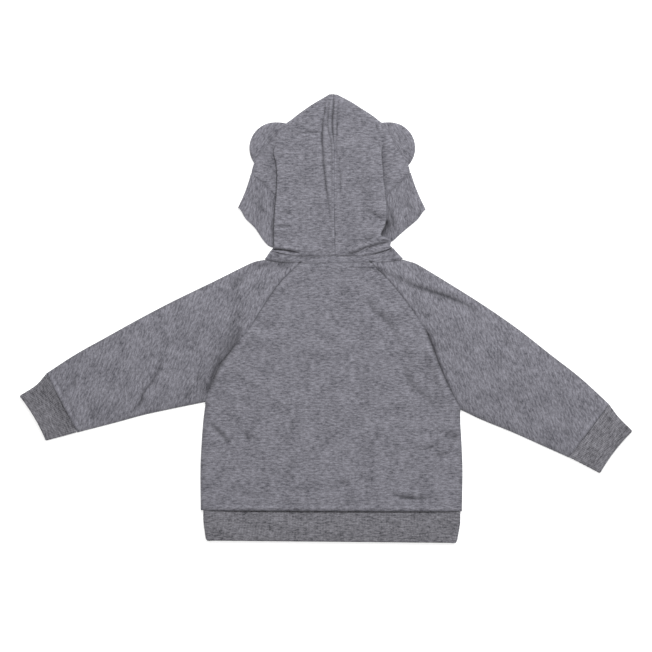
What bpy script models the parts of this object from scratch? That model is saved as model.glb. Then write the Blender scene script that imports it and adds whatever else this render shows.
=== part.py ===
"""Toddler's raglan hoodie with round ears, in fleece knit, laid flat on its front.

The garment lies back up on the plane z = 0, hood towards +Y. Every piece that is cut and sewn is an
open cloth surface with a Solidify wall. Design sizes are in millimetres: "out" is measured from the
centre-back line, "up" from the bottom of the hem band.
"""

import math
from collections import namedtuple

import bmesh
import bpy
from mathutils import Vector
from mathutils.kdtree import KDTree

# ---------------------------------------------------------------- driving sizes, millimetres
FLEECE = 1.8  # wall of the fleece knit
RIB = 2.8  # wall of the doubled rib
AIR = 0.5  # between two layers that lie on each other
SEAM_GAP = 0.32  # between two pieces at their seam
SEAM = SEAM_GAP / 2
STRIP_GAP = 0.45  # round the neck strip, whose edges are curved

LAYER_1 = FLEECE / 2  # mid heights of the cloth layers, from the surface up
LAYER_2 = LAYER_1 + FLEECE + AIR
LAYER_3 = LAYER_2 + FLEECE + AIR
BACK = 3.9  # mid height of the back panel and of the sleeves' upper side
MIDDLE = (LAYER_1 + BACK) / 2  # height at which upper and lower side meet
RIB_LOW = RIB / 2
RIB_HIGH = RIB_LOW + RIB + 0.8

FOLD_REACH = 2.6  # how far in from its edge a body or sleeve fold levels out
RIB_REACH = 3.4
CREASE_REACH = 1.3  # bulge of a tight fold between two layers
EAR_RIM = 3.1  # mid height of the ear's upper piece at its round edge
EAR_BACK = 3.9  # and in its middle
CROWN = 4.5  # mid height of the hood near its roof fold
PEAK = 3.9  # and at its tip
COLLAR = 5.1  # mid height of the hood's base and of the neck strip beside it
LIFTED = LAYER_3 + 0.2  # of the hood where two more layers lie under it

ORIGIN_SHIFT = Vector((6.9, -280.2, 0.0))  # from the design lines to the box's bottom centre
METRES = 0.001

LEFT, RIGHT = -1, 1

# ---------------------------------------------------------------- outlines, one row a point
Spot = namedtuple("Spot", "left_out left_up right_out right_up")

BACK_RAGLAN = (
    Spot(40.0, 350.0, 48.5, 351.0),
    Spot(65.0, 325.5, 73.5, 325.5),
    Spot(84.0, 299.0, 95.0, 299.0),
    Spot(102.0, 270.0, 111.0, 276.0),
    Spot(121.0, 247.0, 122.0, 255.0),
    Spot(138.0, 225.0, 132.0, 228.0),
    Spot(150.0, 203.0, 146.0, 196.0),
    Spot(160.5, 177.0, 161.5, 166.5),
)
FRONT_RAGLAN = (
    Spot(52.0, 331.5, 54.0, 331.5),
    Spot(74.0, 306.0, 77.0, 306.0),
    Spot(97.0, 277.0, 100.0, 277.0),
    Spot(120.0, 246.0, 121.0, 246.0),
    Spot(142.0, 213.0, 142.0, 209.0),
    Spot(160.5, 177.0, 161.5, 166.5),
)
BACK_NECK = (
    Spot(84.6, 350.6, 88.0, 353.6),
    Spot(62.0, 349.5, 68.0, 351.0),
    Spot(40.0, 350.0, 48.5, 351.0),
)
FRONT_NECK = (
    Spot(84.6, 350.6, 88.0, 353.6),
    Spot(68.0, 341.5, 71.0, 342.5),
    Spot(52.0, 331.5, 54.0, 331.5),
)
FRONT_THROAT = (
    Spot(52.0, 331.5, 54.0, 331.5),
    Spot(28.0, 321.5, 29.0, 321.5),
    Spot(0.0, 318.0, 0.0, 318.0),
)
BACK_THROAT = (
    Spot(40.0, 350.0, 48.5, 351.0),
    Spot(21.0, 349.2, 24.0, 350.6),
    Spot(0.0, 350.0, 0.0, 350.0),
)
SHOULDER = (
    Spot(84.6, 350.6, 88.0, 353.6),
    Spot(105.0, 348.0, 104.0, 348.5),
    Spot(151.0, 326.0, 144.0, 326.0),
    Spot(197.5, 303.5, 191.0, 296.0),
    Spot(240.0, 281.0, 233.5, 266.0),
    Spot(280.0, 258.5, 272.0, 236.0),
    Spot(320.0, 236.0, 310.0, 206.0),
    Spot(357.0, 211.0, 344.5, 172.0),
)
UNDERARM = (
    Spot(160.5, 177.0, 161.5, 166.5),
    Spot(200.0, 168.0, 187.5, 153.5),
    Spot(235.0, 160.0, 225.0, 138.5),
    Spot(270.0, 151.0, 260.0, 123.5),
    Spot(319.0, 138.5, 296.0, 107.5),
)
SIDE = (
    Spot(159.2, 174.5, 160.2, 164.5),
    Spot(161.0, 154.0, 160.4, 148.0),
    Spot(163.5, 124.0, 161.4, 124.0),
    Spot(165.0, 90.0, 162.4, 90.0),
    Spot(164.6, 41.0, 161.6, 39.5),
)
HEM_SIDE = (
    Spot(161.6, 40.6, 159.4, 39.1),
    Spot(161.0, 26.0, 158.6, 24.0),
    Spot(157.6, 2.4, 155.6, 0.6),
)
CUFF_TOP = (
    Spot(356.1, 208.6, 343.2, 169.7),
    Spot(371.0, 196.5, 357.0, 155.5),
    Spot(386.4, 182.6, 372.6, 138.8),
)
CUFF_LOW = (
    Spot(320.9, 141.4, 298.3, 109.9),
    Spot(338.0, 135.8, 314.0, 99.6),
    Spot(355.6, 131.0, 332.0, 89.8),
)
HOOD_BASE = (
    Spot(0.0, 358.9, 0.0, 358.9),
    Spot(34.0, 357.7, 41.0, 359.0),
    Spot(60.0, 360.6, 62.0, 364.0),
    Spot(79.0, 363.2, 77.0, 368.0),
)
HOOD_FRONT_BASE = (
    Spot(79.0, 363.2, 77.0, 368.0),
    Spot(62.0, 350.5, 62.0, 351.5),
    Spot(40.0, 337.5, 40.0, 337.5),
    Spot(20.0, 329.6, 20.0, 329.6),
    Spot(0.0, 326.8, 0.0, 326.8),
)

# Rows of a hood half, neck to peak: the centre seam, the pleat's crease and the row's far end.
# turn 1 turns the cloth back under the crease, turn 0 only steps it down to the end's level,
# and at half a turn it hangs straight down to its seam.
# rim is the seam's height at the end, tilt 1 where the seam is a fold and 0 where it lies flat.
HoodRow = namedtuple("HoodRow", "centre_up crease end turn level rim tilt")
HOOD_ROWS = (
    HoodRow(358.9, Spot(77.6, 363.2, 75.4, 368.3), Spot(39.9, 338.2, 39.9, 338.2), 1, LAYER_1, LAYER_1, 0),
    HoodRow(363.0, Spot(75.5, 367.0, 74.0, 372.0), Spot(39.9, 352.0, 39.9, 352.0), 1, 1.5, 1.5, 0),
    HoodRow(369.0, Spot(73.5, 372.0, 69.5, 377.5), Spot(39.9, 363.0, 39.9, 363.0), 1, 3.1, 3.1, 0),
    HoodRow(382.0, Spot(73.5, 385.0, 64.5, 387.0), Spot(39.9, 381.0, 39.9, 381.0), 1, LAYER_2, LAYER_2, 0),
    HoodRow(398.0, Spot(73.5, 401.0, 68.0, 400.0), Spot(39.9, 398.6, 39.9, 398.6), 1, LAYER_2, LAYER_2, 0),
    HoodRow(412.0, Spot(73.0, 414.0, 69.0, 413.0), Spot(51.0, 411.5, 50.5, 410.5), 1, LAYER_2, 3.0, 0.5),
    HoodRow(426.0, Spot(71.0, 427.5, 68.0, 426.5), Spot(62.0, 421.9, 60.0, 421.5), 1, LAYER_2, 2.9, 0.7),
    HoodRow(437.0, Spot(71.0, 437.3, 67.5, 436.0), Spot(72.6, 436.6, 69.0, 435.4), 0.5, LAYER_2, 2.75, 1),
    HoodRow(444.0, Spot(71.8, 444.5, 67.2, 445.0), Spot(80.5, 443.2, 76.5, 443.6), 0, LAYER_2, LAYER_2, 0),
    HoodRow(452.5, Spot(71.5, 452.5, 67.0, 453.0), Spot(88.0, 450.5, 86.0, 451.2), 0, LAYER_2, LAYER_2, 0),
    HoodRow(463.0, Spot(71.5, 462.5, 65.5, 462.5), Spot(96.3, 459.0, 95.3, 458.0), 0, LAYER_2, LAYER_2, 0),
    HoodRow(476.0, Spot(71.5, 475.0, 64.0, 475.0), Spot(96.5, 472.0, 94.5, 470.0), 0, 4.2, 2.8, 1),
    HoodRow(490.0, Spot(70.5, 487.5, 63.0, 487.5), Spot(88.3, 486.5, 87.6, 484.5), 0, 3.9, MIDDLE, 1),
    HoodRow(505.0, Spot(64.0, 500.5, 60.0, 500.5), Spot(77.5, 501.0, 79.0, 498.0), 0, 3.9, MIDDLE, 1),
    HoodRow(521.0, Spot(52.0, 515.0, 52.0, 515.0), Spot(65.4, 515.6, 69.4, 512.6), 0, CROWN, MIDDLE, 1),
    HoodRow(537.0, Spot(34.0, 530.5, 36.0, 530.5), Spot(46.5, 533.3, 51.3, 531.7), 0, CROWN, MIDDLE, 1),
    HoodRow(550.0, Spot(14.0, 546.5, 15.0, 546.5), Spot(24.0, 547.4, 26.0, 548.4), 0, 4.3, 3.3, 0.3),
    HoodRow(559.6, Spot(2.0, 558.8, 2.0, 558.9), Spot(6.6, 557.0, 6.6, 557.4), 0, PEAK, PEAK, 0),
)

# Cross-lines of the face band on one side, neck to brow: its seam edge and its face edge.
# turns_to turns the strip over along the line, onto the level below.
BandRow = namedtuple("BandRow", "seam face level rim tilt turns_to")
BAND_ROWS = (
    BandRow(Spot(39.9, 338.2, 39.9, 338.2), Spot(0.3, 327.6, 0.3, 327.6), LAYER_1, LAYER_1, 0, None),
    BandRow(Spot(39.9, 352.0, 39.9, 352.0), Spot(0.3, 347.0, 0.3, 347.0), 1.5, 1.5, 0, None),
    BandRow(Spot(39.9, 363.0, 39.9, 363.0), Spot(0.3, 359.3, 0.3, 359.3), 3.1, 3.1, 0, None),
    BandRow(Spot(39.9, 381.0, 39.9, 381.0), Spot(0.8, 360.4, 0.8, 360.4), LAYER_2, LAYER_2, 0, None),
    BandRow(Spot(39.5, 398.4, 39.5, 398.4), Spot(2.0, 361.6, 2.0, 361.6), LAYER_2, LAYER_2, 0, LAYER_1),
    BandRow(Spot(51.0, 411.5, 50.5, 410.5), Spot(30.0, 363.0, 30.0, 363.0), LAYER_1, LAYER_1, 0, None),
    BandRow(Spot(62.0, 421.9, 60.0, 421.5), Spot(57.0, 367.0, 57.0, 372.0), LAYER_1, LAYER_1, 0, None),
    BandRow(Spot(72.6, 436.6, 69.0, 435.4), Spot(75.5, 372.0, 75.0, 379.5), LAYER_1, LAYER_1, 0, None),
    BandRow(Spot(80.9, 442.8, 76.9, 443.2), Spot(82.0, 378.0, 82.0, 383.0), 1.4, 2.0, 0, None),
    BandRow(Spot(88.0, 450.5, 86.0, 451.2), Spot(97.0, 396.0, 96.0, 396.5), LAYER_2, LAYER_2, 0, None),
    BandRow(Spot(96.2, 458.8, 95.2, 457.8), Spot(114.0, 419.5, 114.0, 418.0), LAYER_2, LAYER_2, 0, LAYER_1),
    BandRow(Spot(95.4, 458.9, 94.4, 457.9), Spot(91.5, 431.0, 91.0, 430.0), LAYER_1, LAYER_1, 0, None),
    BandRow(Spot(96.3, 472.0, 94.2, 470.0), Spot(86.0, 447.0, 86.0, 447.0), LAYER_1, 2.0, 1, None),
    BandRow(Spot(88.3, 486.5, 87.6, 484.5), Spot(62.0, 456.0, 62.0, 454.0), LAYER_1, 2.3, 1, None),
    BandRow(Spot(77.5, 501.0, 79.0, 498.0), Spot(47.0, 467.0, 47.5, 465.0), LAYER_1, MIDDLE, 1, None),
    BandRow(Spot(55.0, 527.0, 60.0, 525.0), Spot(31.0, 490.0, 32.0, 489.0), LAYER_1, MIDDLE, 1, None),
    BandRow(Spot(28.0, 545.0, 32.0, 545.3), Spot(15.0, 509.0, 16.0, 509.0), LAYER_1, MIDDLE, 1, None),
    BandRow(Spot(6.6, 557.0, 6.6, 557.4), Spot(3.4, 516.0, 3.4, 516.0), LAYER_1, MIDDLE, 1, None),
)

Ear = namedtuple("Ear", "side out up radius lean root")
EARS = (
    Ear(LEFT, 72.8, 493.6, 30.4, 143.0, 9.5),
    Ear(RIGHT, 72.4, 495.0, 30.0, 37.0, 9.9),
)
EAR_ROWS = (28, 39, 50, 61, 72, 82)  # degrees up the ear's round edge, root to tip
EAR_REACH = 8.0  # how far in the ear's upper piece levels out
EAR_SHARES = (-1.0, -0.8, -0.45, 0.0, 0.45, 0.8, 1.0)

# Soft rolls in the upper side, where spare cloth lies in a fold.
Roll = namedtuple("Roll", "from_x from_up to_x to_up width height")
ROLLS = (
    Roll(-150.0, 47.0, 147.0, 46.0, 34.0, 1.4),  # over the hem band
    Roll(-350.0, 200.0, -316.0, 146.0, 40.0, 1.5),  # over the left cuff
    Roll(337.0, 166.0, 296.0, 118.0, 40.0, 1.5),  # over the right cuff
    Roll(-112.0, 250.0, -146.0, 196.0, 34.0, 1.2),  # left armhole fold
    Roll(134.0, 246.0, 158.0, 186.0, 34.0, 1.2),  # right armhole fold
    Roll(-120.0, 320.0, -300.0, 224.0, 70.0, 1.3),  # left sleeve crown
    Roll(118.0, 316.0, 290.0, 196.0, 70.0, 1.3),  # right sleeve crown
    Roll(-205.0, 214.0, -240.0, 170.0, 40.0, 1.1),  # left sleeve drag fold
    Roll(196.0, 214.0, 226.0, 160.0, 40.0, 1.1),  # right sleeve drag fold
)

# Edge of a fold: share of its reach in from the edge, share of its height.
EDGE_FOLD = ((0.0, 0.0), (0.0, 0.35), (0.3, 0.8), (1.0, 1.0))
FLAT_EDGE = ((0.0, 0.0), (2.0, 0.1), (5.0, 0.5), (9.0, 1.0))  # the same for a flat seam, in mm
RAGLAN_PLACES = (0.0, 2.0, 5.0, 9.0)
TURN_ANGLES = (90, 45, 0, -45, -90)  # a cloth layer turning over onto the one below
STEP_WIDTH = 5.0  # of the pleat's step where it runs out
HANGING = 0.5  # turn of a row that hangs straight down from the crease to its seam
HANGING_SHARES = (0.25, 0.5, 0.75, 1.0)  # down such a drop, or round a crease
STEM = 0.3  # upright cloth at a folded seam
CORNER_PARTING = 0.9  # the panels' edges part a little at the underarm corner
CORNER_CLOSING = 0.25
CORNER_CLEAR = 1.2  # the strip's folded ends stand clear of the sleeves' by this
HIDDEN_FOLD_UP = 360.0  # where the face band's hidden folds meet on the centre line
HIDDEN_FOLD_SLOPE = 0.93  # their run outwards for each millimetre up
HIDDEN_FOLD_SPAN = (-14.0, -2.0)
PLEAT_SPAN = (56.0, 70.0)  # out from the centre seam, where the hood climbs its pleats
PLEAT_TOP = (470.0, 505.0)
NECK_RISE = (357.0, 372.0)
FRONT_BASE_PLACES = (32.0, 16.0)

NECK_COLUMNS = 3
NECK_SHARES = (0.0, 0.33, 0.66, 1.0)
RAGLAN_COLUMNS = 7
BODY_COLUMNS = 7
STRIP_COLUMNS = 14
CUFF_COLUMNS = 3
RIB_ROWS = 2
NECK_ROWS = 4  # rows over which the neckline's dip fades
SLEEVE_ROWS = 8
SIDE_SHARES = (0.0, 0.03, 0.15, 0.32, 0.5, 0.68, 0.84, 1.0)
HOOD_COLUMNS = 5
BAND_SHARES = (0.55, 1.0)
CURVE_STEPS = 8
EDGE_STEP = 0.25
WELD = 1e-6

FLEECE_TONE = (0.20, 0.197, 0.225)
RIB_TONE = (0.165, 0.162, 0.184)
ROUGHNESS = 0.9


# ---------------------------------------------------------------- outlines and paths
def spot_point(spot, side):
    """A table's point on one side of the centre line."""
    if side == LEFT:
        return Vector((-spot.left_out, spot.left_up))
    return Vector((spot.right_out, spot.right_up))


def outline(table, side):
    """Points of a whole table on one side of the centre line."""
    return [spot_point(spot, side) for spot in table]


def curved(points):
    """A Catmull-Rom curve through the points."""
    if len(points) < 3:
        return list(points)
    padded = [2 * points[0] - points[1], *points, 2 * points[-1] - points[-2]]
    curve = [points[0].copy()]
    for before, start, end, after in zip(padded, padded[1:], padded[2:], padded[3:]):
        for step in range(1, CURVE_STEPS + 1):
            t = step / CURVE_STEPS
            slope = (end - before) * t
            bend = (2 * before - 5 * start + 4 * end - after) * t**2
            twist = (3 * start - before - 3 * end + after) * t**3
            curve.append(0.5 * (2 * start + slope + bend + twist))
    return curve


class Path:
    """A line in the plane, read by distance or by share of its length."""

    def __init__(self, points):
        self.points = points
        self.marks = [0.0]
        for start, end in zip(points, points[1:]):
            self.marks.append(self.marks[-1] + (end - start).length)
        self.length = self.marks[-1]

    def at(self, distance):
        distance = min(max(distance, 0.0), self.length)
        index = 1
        while self.marks[index] < distance and index < len(self.marks) - 1:
            index += 1
        span = self.marks[index] - self.marks[index - 1]
        share = (distance - self.marks[index - 1]) / span
        return self.points[index - 1].lerp(self.points[index], share)

    def share(self, share):
        return self.at(share * self.length)

    def moved(self, distance):
        """The same line with each point moved to its left."""
        moved = []
        for index, point in enumerate(self.points):
            after = self.points[min(index + 1, len(self.points) - 1)]
            along = after - self.points[max(index - 1, 0)]
            left = Vector((-along.y, along.x)).normalized()
            moved.append(point + left * distance)
        return Path(moved)


def table_path(table, side):
    return Path(curved(outline(table, side)))


def joined_path(*tables_and_sides):
    """Curves that meet end to end, read as one line with its corners kept."""
    points = []
    for table, side, backwards in tables_and_sides:
        curve = curved(outline(table, side))
        if backwards:
            curve.reverse()
        points += curve[1:] if points else curve
    return Path(points)


# ---------------------------------------------------------------- heights
def folded_share(inward):
    """Share of a fold's height at a distance in from its edge, in reaches."""
    for (near, low), (far, high) in zip(EDGE_FOLD[1:], EDGE_FOLD[2:]):
        if inward <= far:
            return low + (high - low) * (inward - near) / (far - near)
    return 1.0


def edge_tree(tables):
    """Points close together along the outlines, to measure how far in a point lies."""
    points = []
    for table in tables:
        for side in (LEFT, RIGHT):
            path = table_path(table, side)
            count = int(path.length / EDGE_STEP)
            points += [path.share(index / count) for index in range(count + 1)]
    tree = KDTree(len(points))
    for index, point in enumerate(points):
        tree.insert(point.to_3d(), index)
    tree.balance()
    return tree


def roll_height(point):
    """Height of the soft rolls at a point."""
    height = 0.0
    for roll in ROLLS:
        start = Vector((roll.from_x, roll.from_up))
        along = Vector((roll.to_x, roll.to_up)) - start
        share = (point - start).dot(along) / along.length_squared
        beyond = max(0.0, -share, share - 1.0) * along.length
        across = point - start - along * min(max(share, 0.0), 1.0)
        reach = min(1.0, across.length / (roll.width / 2))
        fade = max(0.0, 1.0 - beyond / roll.width)
        height += roll.height * fade * (0.5 + 0.5 * math.cos(math.pi * reach))
    return height


def with_height(point, z):
    return Vector((point.x, point.y, z))


def upper(point):
    """A point of the back or of a sleeve's upper side, which lies over the lower one."""
    inward = GARMENT_EDGE.find(point.to_3d())[2] / FOLD_REACH
    rise = BACK + roll_height(point) - MIDDLE
    return with_height(point, MIDDLE + rise * folded_share(inward))


def lower(point):
    """A point of the front or of a sleeve's lower side, flat on the surface."""
    inward = GARMENT_EDGE.find(point.to_3d())[2] / FOLD_REACH
    return with_height(point, MIDDLE + (LAYER_1 - MIDDLE) * folded_share(inward))


# ---------------------------------------------------------------- making a piece
def material_for(name, tone):
    material = bpy.data.materials.new(name)
    material.use_nodes = True
    shader = material.node_tree.nodes["Principled BSDF"]
    shader.inputs["Base Color"].default_value = (*tone, 1.0)
    shader.inputs["Roughness"].default_value = ROUGHNESS
    shader.inputs["Metallic"].default_value = 0.0
    return material


def sew(name, rows, wall, tone, closed=False):
    """A piece of cloth: a grid laid on rows of points, given its wall by Solidify."""
    maker = bmesh.new()
    bmesh.ops.create_grid(maker, x_segments=len(rows[0]) - 1, y_segments=len(rows) - 1)
    spots = [point for row in rows for point in row]
    for vertex, spot in zip(maker.verts, spots):
        vertex.co = (spot + ORIGIN_SHIFT) * METRES
    if closed:
        bmesh.ops.remove_doubles(maker, verts=maker.verts, dist=WELD)
    bmesh.ops.recalc_face_normals(maker, faces=maker.faces)
    mesh = bpy.data.meshes.new(name)
    maker.to_mesh(mesh)
    maker.free()
    mesh.shade_smooth()
    mesh.materials.append(material_for(name, tone))
    piece = bpy.data.objects.new(name, mesh)
    PIECES.objects.link(piece)
    thickness = piece.modifiers.new("wall", "SOLIDIFY")
    thickness.thickness = wall * METRES
    thickness.offset = 0.0
    thickness.use_even_offset = True
    thickness.use_quality_normals = True
    return piece


def spread(length, places, inner):
    """Distances along a line: the places in from each end and the shares between them."""
    reach = places[-1]
    middle = [reach + share * (length - 2 * reach) for share in inner]
    return [*places, *middle, *(length - place for place in reversed(places))]


def fold_places(reach):
    return [near * reach for near, _ in EDGE_FOLD]


def inner_shares(count):
    return [(index + 1) / (count + 1) for index in range(count)]


def tube_ring(line, inner, reach, high, low):
    """A closed ring of points: over a line at one height and back under it at another."""
    middle = (high + low) / 2
    over, under = [], []
    for place in spread(line.length, fold_places(reach), inner):
        share = folded_share(min(place, line.length - place) / reach)
        point = line.at(place)
        over.append(with_height(point, middle + (high - middle) * share))
        under.append(with_height(point, middle + (low - middle) * share))
    over[0].z = over[-1].z = middle
    return [*over, *reversed(under[1:-1]), over[0].copy()]


# ---------------------------------------------------------------- sleeves
def armhole(side, neck, raglan):
    """The sleeve's seam edge: along the neck, then down the raglan seam."""
    return joined_path((neck, side, False), (raglan, side, False))


def armhole_shares(side, neck, raglan):
    """Shares of the seam edge between its two folds, with one at the neck corner."""
    reach = armhole(side, neck, raglan).length - 2 * FOLD_REACH
    corner = (table_path(neck, side).length - FOLD_REACH) / reach
    neck_shares = [corner * share for share in inner_shares(NECK_COLUMNS - 1)]
    raglan_shares = [corner + (1.0 - corner) * share for share in inner_shares(RAGLAN_COLUMNS)]
    return neck_shares, [corner, *raglan_shares]


def sleeve_side(side, neck, raglan, lay):
    """Rows of one side of a sleeve, from the armhole to the cuff seam."""
    neck_shares, raglan_shares = armhole_shares(side, neck, raglan)
    seam = armhole(side, neck, raglan).moved(side * SEAM)
    shoulder, underarm = table_path(SHOULDER, side), table_path(UNDERARM, side)
    cuff = Path([shoulder.points[-1], underarm.points[-1]])
    rows = []
    for index in range(SLEEVE_ROWS + 1):
        down = index / SLEEVE_ROWS
        length = seam.length * (1 - down) + cuff.length * down
        row = []
        for place in spread(length, fold_places(FOLD_REACH), [*neck_shares, *raglan_shares]):
            over = place / length
            across = seam.share(over).lerp(cuff.share(over), down)
            along = shoulder.share(down).lerp(underarm.share(down), over)
            top = seam.points[0].lerp(cuff.points[0], down)
            bottom = seam.points[-1].lerp(cuff.points[-1], down)
            row.append(lay(across + along - top.lerp(bottom, over)))
        row[0].z = row[-1].z = MIDDLE
        rows.append(row)
    return rows


def build_sleeve(side, name):
    """One piece, closed into a flat tube: folded at the shoulder, seamed under the arm."""
    high = sleeve_side(side, BACK_NECK, BACK_RAGLAN, upper)
    low = sleeve_side(side, FRONT_NECK, FRONT_RAGLAN, lower)
    rows = []
    for over, under in zip(high, low):
        over[1].xy, under[1].xy = over[0].xy, over[0].xy
        over[-2].xy, under[-2].xy = over[-1].xy, over[-1].xy
        rows.append([*over, *reversed(under[1:-1]), over[0].copy()])
    return sew(name, rows, FLEECE, FLEECE_TONE, closed=True)


# ---------------------------------------------------------------- body panels
def raglan_stations(side, neck, raglan):
    """Points down a panel's raglan edge, across the seam from the sleeve's own."""
    _, shares = armhole_shares(side, neck, raglan)
    seam = armhole(side, neck, raglan).moved(-side * SEAM)
    reach = seam.length - 2 * FOLD_REACH
    return [seam.at(FOLD_REACH + share * reach) for share in shares]


def panel_rows(neck, raglan, throat, lay, rim):
    """Rows of the back or the front, from the neck to the hem seam."""
    lefts = raglan_stations(LEFT, neck, raglan)
    rights = raglan_stations(RIGHT, neck, raglan)
    neckline = joined_path((throat, LEFT, False), (throat, RIGHT, True)).moved(-SEAM)
    rows = []
    for index, (left, right) in enumerate(zip(lefts, rights)):
        width = (right - left).length
        dip_left = max(0.0, 1.0 - index / NECK_ROWS)
        row = []
        for place in spread(width, RAGLAN_PLACES, inner_shares(BODY_COLUMNS)):
            share = place / width
            straight = neckline.points[0].lerp(neckline.points[-1], share)
            dip = (neckline.share(share) - straight) * dip_left
            row.append(lay(left.lerp(right, share) + dip))
        rows.append(row)
    side_left, side_right = table_path(SIDE, LEFT), table_path(SIDE, RIGHT)
    for down in SIDE_SHARES:
        line = Path([side_left.share(down), side_right.share(down)])
        places = spread(line.length, fold_places(FOLD_REACH), inner_shares(BODY_COLUMNS))
        row = [lay(line.at(place)) for place in places]
        parting = max(SEAM, CORNER_PARTING - CORNER_CLOSING * SIDE_SHARES.index(down))
        for end in (0, -1):
            row[end].z = MIDDLE + rim * parting
        for next_to_end in (1, -2):
            row[next_to_end].z = MIDDLE + rim * max(parting + STEM, abs(row[next_to_end].z - MIDDLE))
        rows.append(row)
    return rows


def build_panels():
    back = panel_rows(BACK_NECK, BACK_RAGLAN, BACK_THROAT, upper, 1)
    front = panel_rows(FRONT_NECK, FRONT_RAGLAN, FRONT_THROAT, lower, -1)
    sew("back_panel", back, FLEECE, FLEECE_TONE)
    sew("front_panel", front, FLEECE, FLEECE_TONE)
    return back[0], front[0]


# ---------------------------------------------------------------- rib tubes
def build_rib(name, first_edge, second_edge, inner):
    """A doubled rib tube, flattened between its two edges."""
    rows = []
    for step in range(RIB_ROWS + 1):
        down = step / RIB_ROWS
        line = Path([first_edge.share(down), second_edge.share(down)])
        rows.append(tube_ring(line, inner_shares(inner), RIB_REACH, RIB_HIGH, RIB_LOW))
    return sew(name, rows, RIB, RIB_TONE, closed=True)


def build_ribs():
    for side, name in ((LEFT, "left_cuff"), (RIGHT, "right_cuff")):
        build_rib(name, table_path(CUFF_TOP, side), table_path(CUFF_LOW, side), CUFF_COLUMNS)
    build_rib("hem_band", table_path(HEM_SIDE, LEFT), table_path(HEM_SIDE, RIGHT), BODY_COLUMNS)


# ---------------------------------------------------------------- neck strip
def neck_line(side_neck, throat_row):
    """The body's neck edge, sleeve to sleeve, through the points of the panel between."""
    left, right = table_path(side_neck, LEFT), table_path(side_neck, RIGHT)
    ends = [left.share(share) for share in NECK_SHARES]
    others = [right.share(share) for share in reversed(NECK_SHARES)]
    ends[0] += Vector((0.0, CORNER_CLEAR))
    others[-1] += Vector((0.0, CORNER_CLEAR))
    middle = [point.to_2d() for point in throat_row[1:-1]]
    return Path([*ends, *middle, *others]).moved(STRIP_GAP)


def build_neck_strip(back_edge, front_edge):
    """A flattened ring between the body's neck edge and the hood's."""
    hood_back = joined_path((HOOD_BASE, LEFT, True), (HOOD_BASE, RIGHT, False))
    hood_front = joined_path((HOOD_FRONT_BASE, LEFT, False), (HOOD_FRONT_BASE, RIGHT, True))
    edges = (
        ((neck_line(BACK_NECK, back_edge), BACK), (hood_back.moved(-STRIP_GAP), COLLAR)),
        ((neck_line(FRONT_NECK, front_edge), LAYER_1), (hood_front.moved(-STRIP_GAP), LAYER_1)),
    )
    rows = []
    for up in (0, 1):
        sides = []
        for side_edges in edges:
            line, level = side_edges[up]
            places = spread(line.length, fold_places(FOLD_REACH), inner_shares(STRIP_COLUMNS))
            inward = [min(place, line.length - place) / FOLD_REACH for place in places]
            heights = [MIDDLE + (level - MIDDLE) * folded_share(reach) for reach in inward]
            sides.append([with_height(line.at(p), z) for p, z in zip(places, heights)])
        over, under = sides
        over[0].z = over[-1].z = MIDDLE
        for mine, other in ((0, 0), (1, 0), (-2, -1), (-1, -1)):
            under[mine].xy = over[other].xy
            over[mine].xy = over[other].xy
        rows.append([*over, *reversed(under[1:-1]), over[0].copy()])
    return sew("neck_strip", rows, FLEECE, FLEECE_TONE, closed=True)


# ---------------------------------------------------------------- hood halves
def eased(value, start, end):
    """0 before start, 1 past end, a soft rise between."""
    share = min(1.0, max(0.0, (value - start) / (end - start)))
    return 0.5 - 0.5 * math.cos(math.pi * share)


def hood_height(point):
    """Mid height of the hood's centre section, which climbs over whatever lies under it."""
    out, up = abs(point.x), point.y
    over_band = eased(out - HIDDEN_FOLD_SLOPE * (up - HIDDEN_FOLD_UP), *HIDDEN_FOLD_SPAN)
    beside = eased(out, *PLEAT_SPAN) * (1.0 - eased(up, *PLEAT_TOP))
    level = CROWN + (LIFTED - CROWN) * max(over_band, beside)
    return COLLAR + (level - COLLAR) * eased(up, *NECK_RISE)


def crease_turn(crease, high, low, turn, side, room):
    """Cloth at the crease: stepping down, hanging from it, or turned back under itself."""
    points = []
    middle, half = (high + low) / 2, (high - low) / 2
    step = min(STEP_WIDTH, room / 2)
    for share in (0.0, *HANGING_SHARES):
        angle = math.radians(90 - 180 * share * (turn or 1))
        outward = CREASE_REACH * math.cos(angle) if turn else step * share
        point = crease + Vector((side * outward, 0.0))
        points.append(with_height(point, middle + half * math.sin(angle)))
    return points


def seam_points(line, level, rim, tilt):
    """Four points in from the start of a line, where the cloth curls from its level to a seam."""
    side = 1 if level > rim else -1
    across = SEAM * math.cos(math.radians(90 * tilt))
    stand = side * SEAM * math.sin(math.radians(90 * tilt))
    room = min(1.0, 0.8 * line.length / FLAT_EDGE[-1][0])
    points = []
    for (fold_in, fold_up), (flat_in, flat_up) in zip(EDGE_FOLD, FLAT_EDGE):
        inward = tilt * fold_in * FOLD_REACH + (1 - tilt) * flat_in * room
        height = tilt * fold_up + (1 - tilt) * flat_up
        place = across + inward
        start = rim + stand
        points.append(with_height(line.at(place), start + (level - start) * height))
    return points


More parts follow.
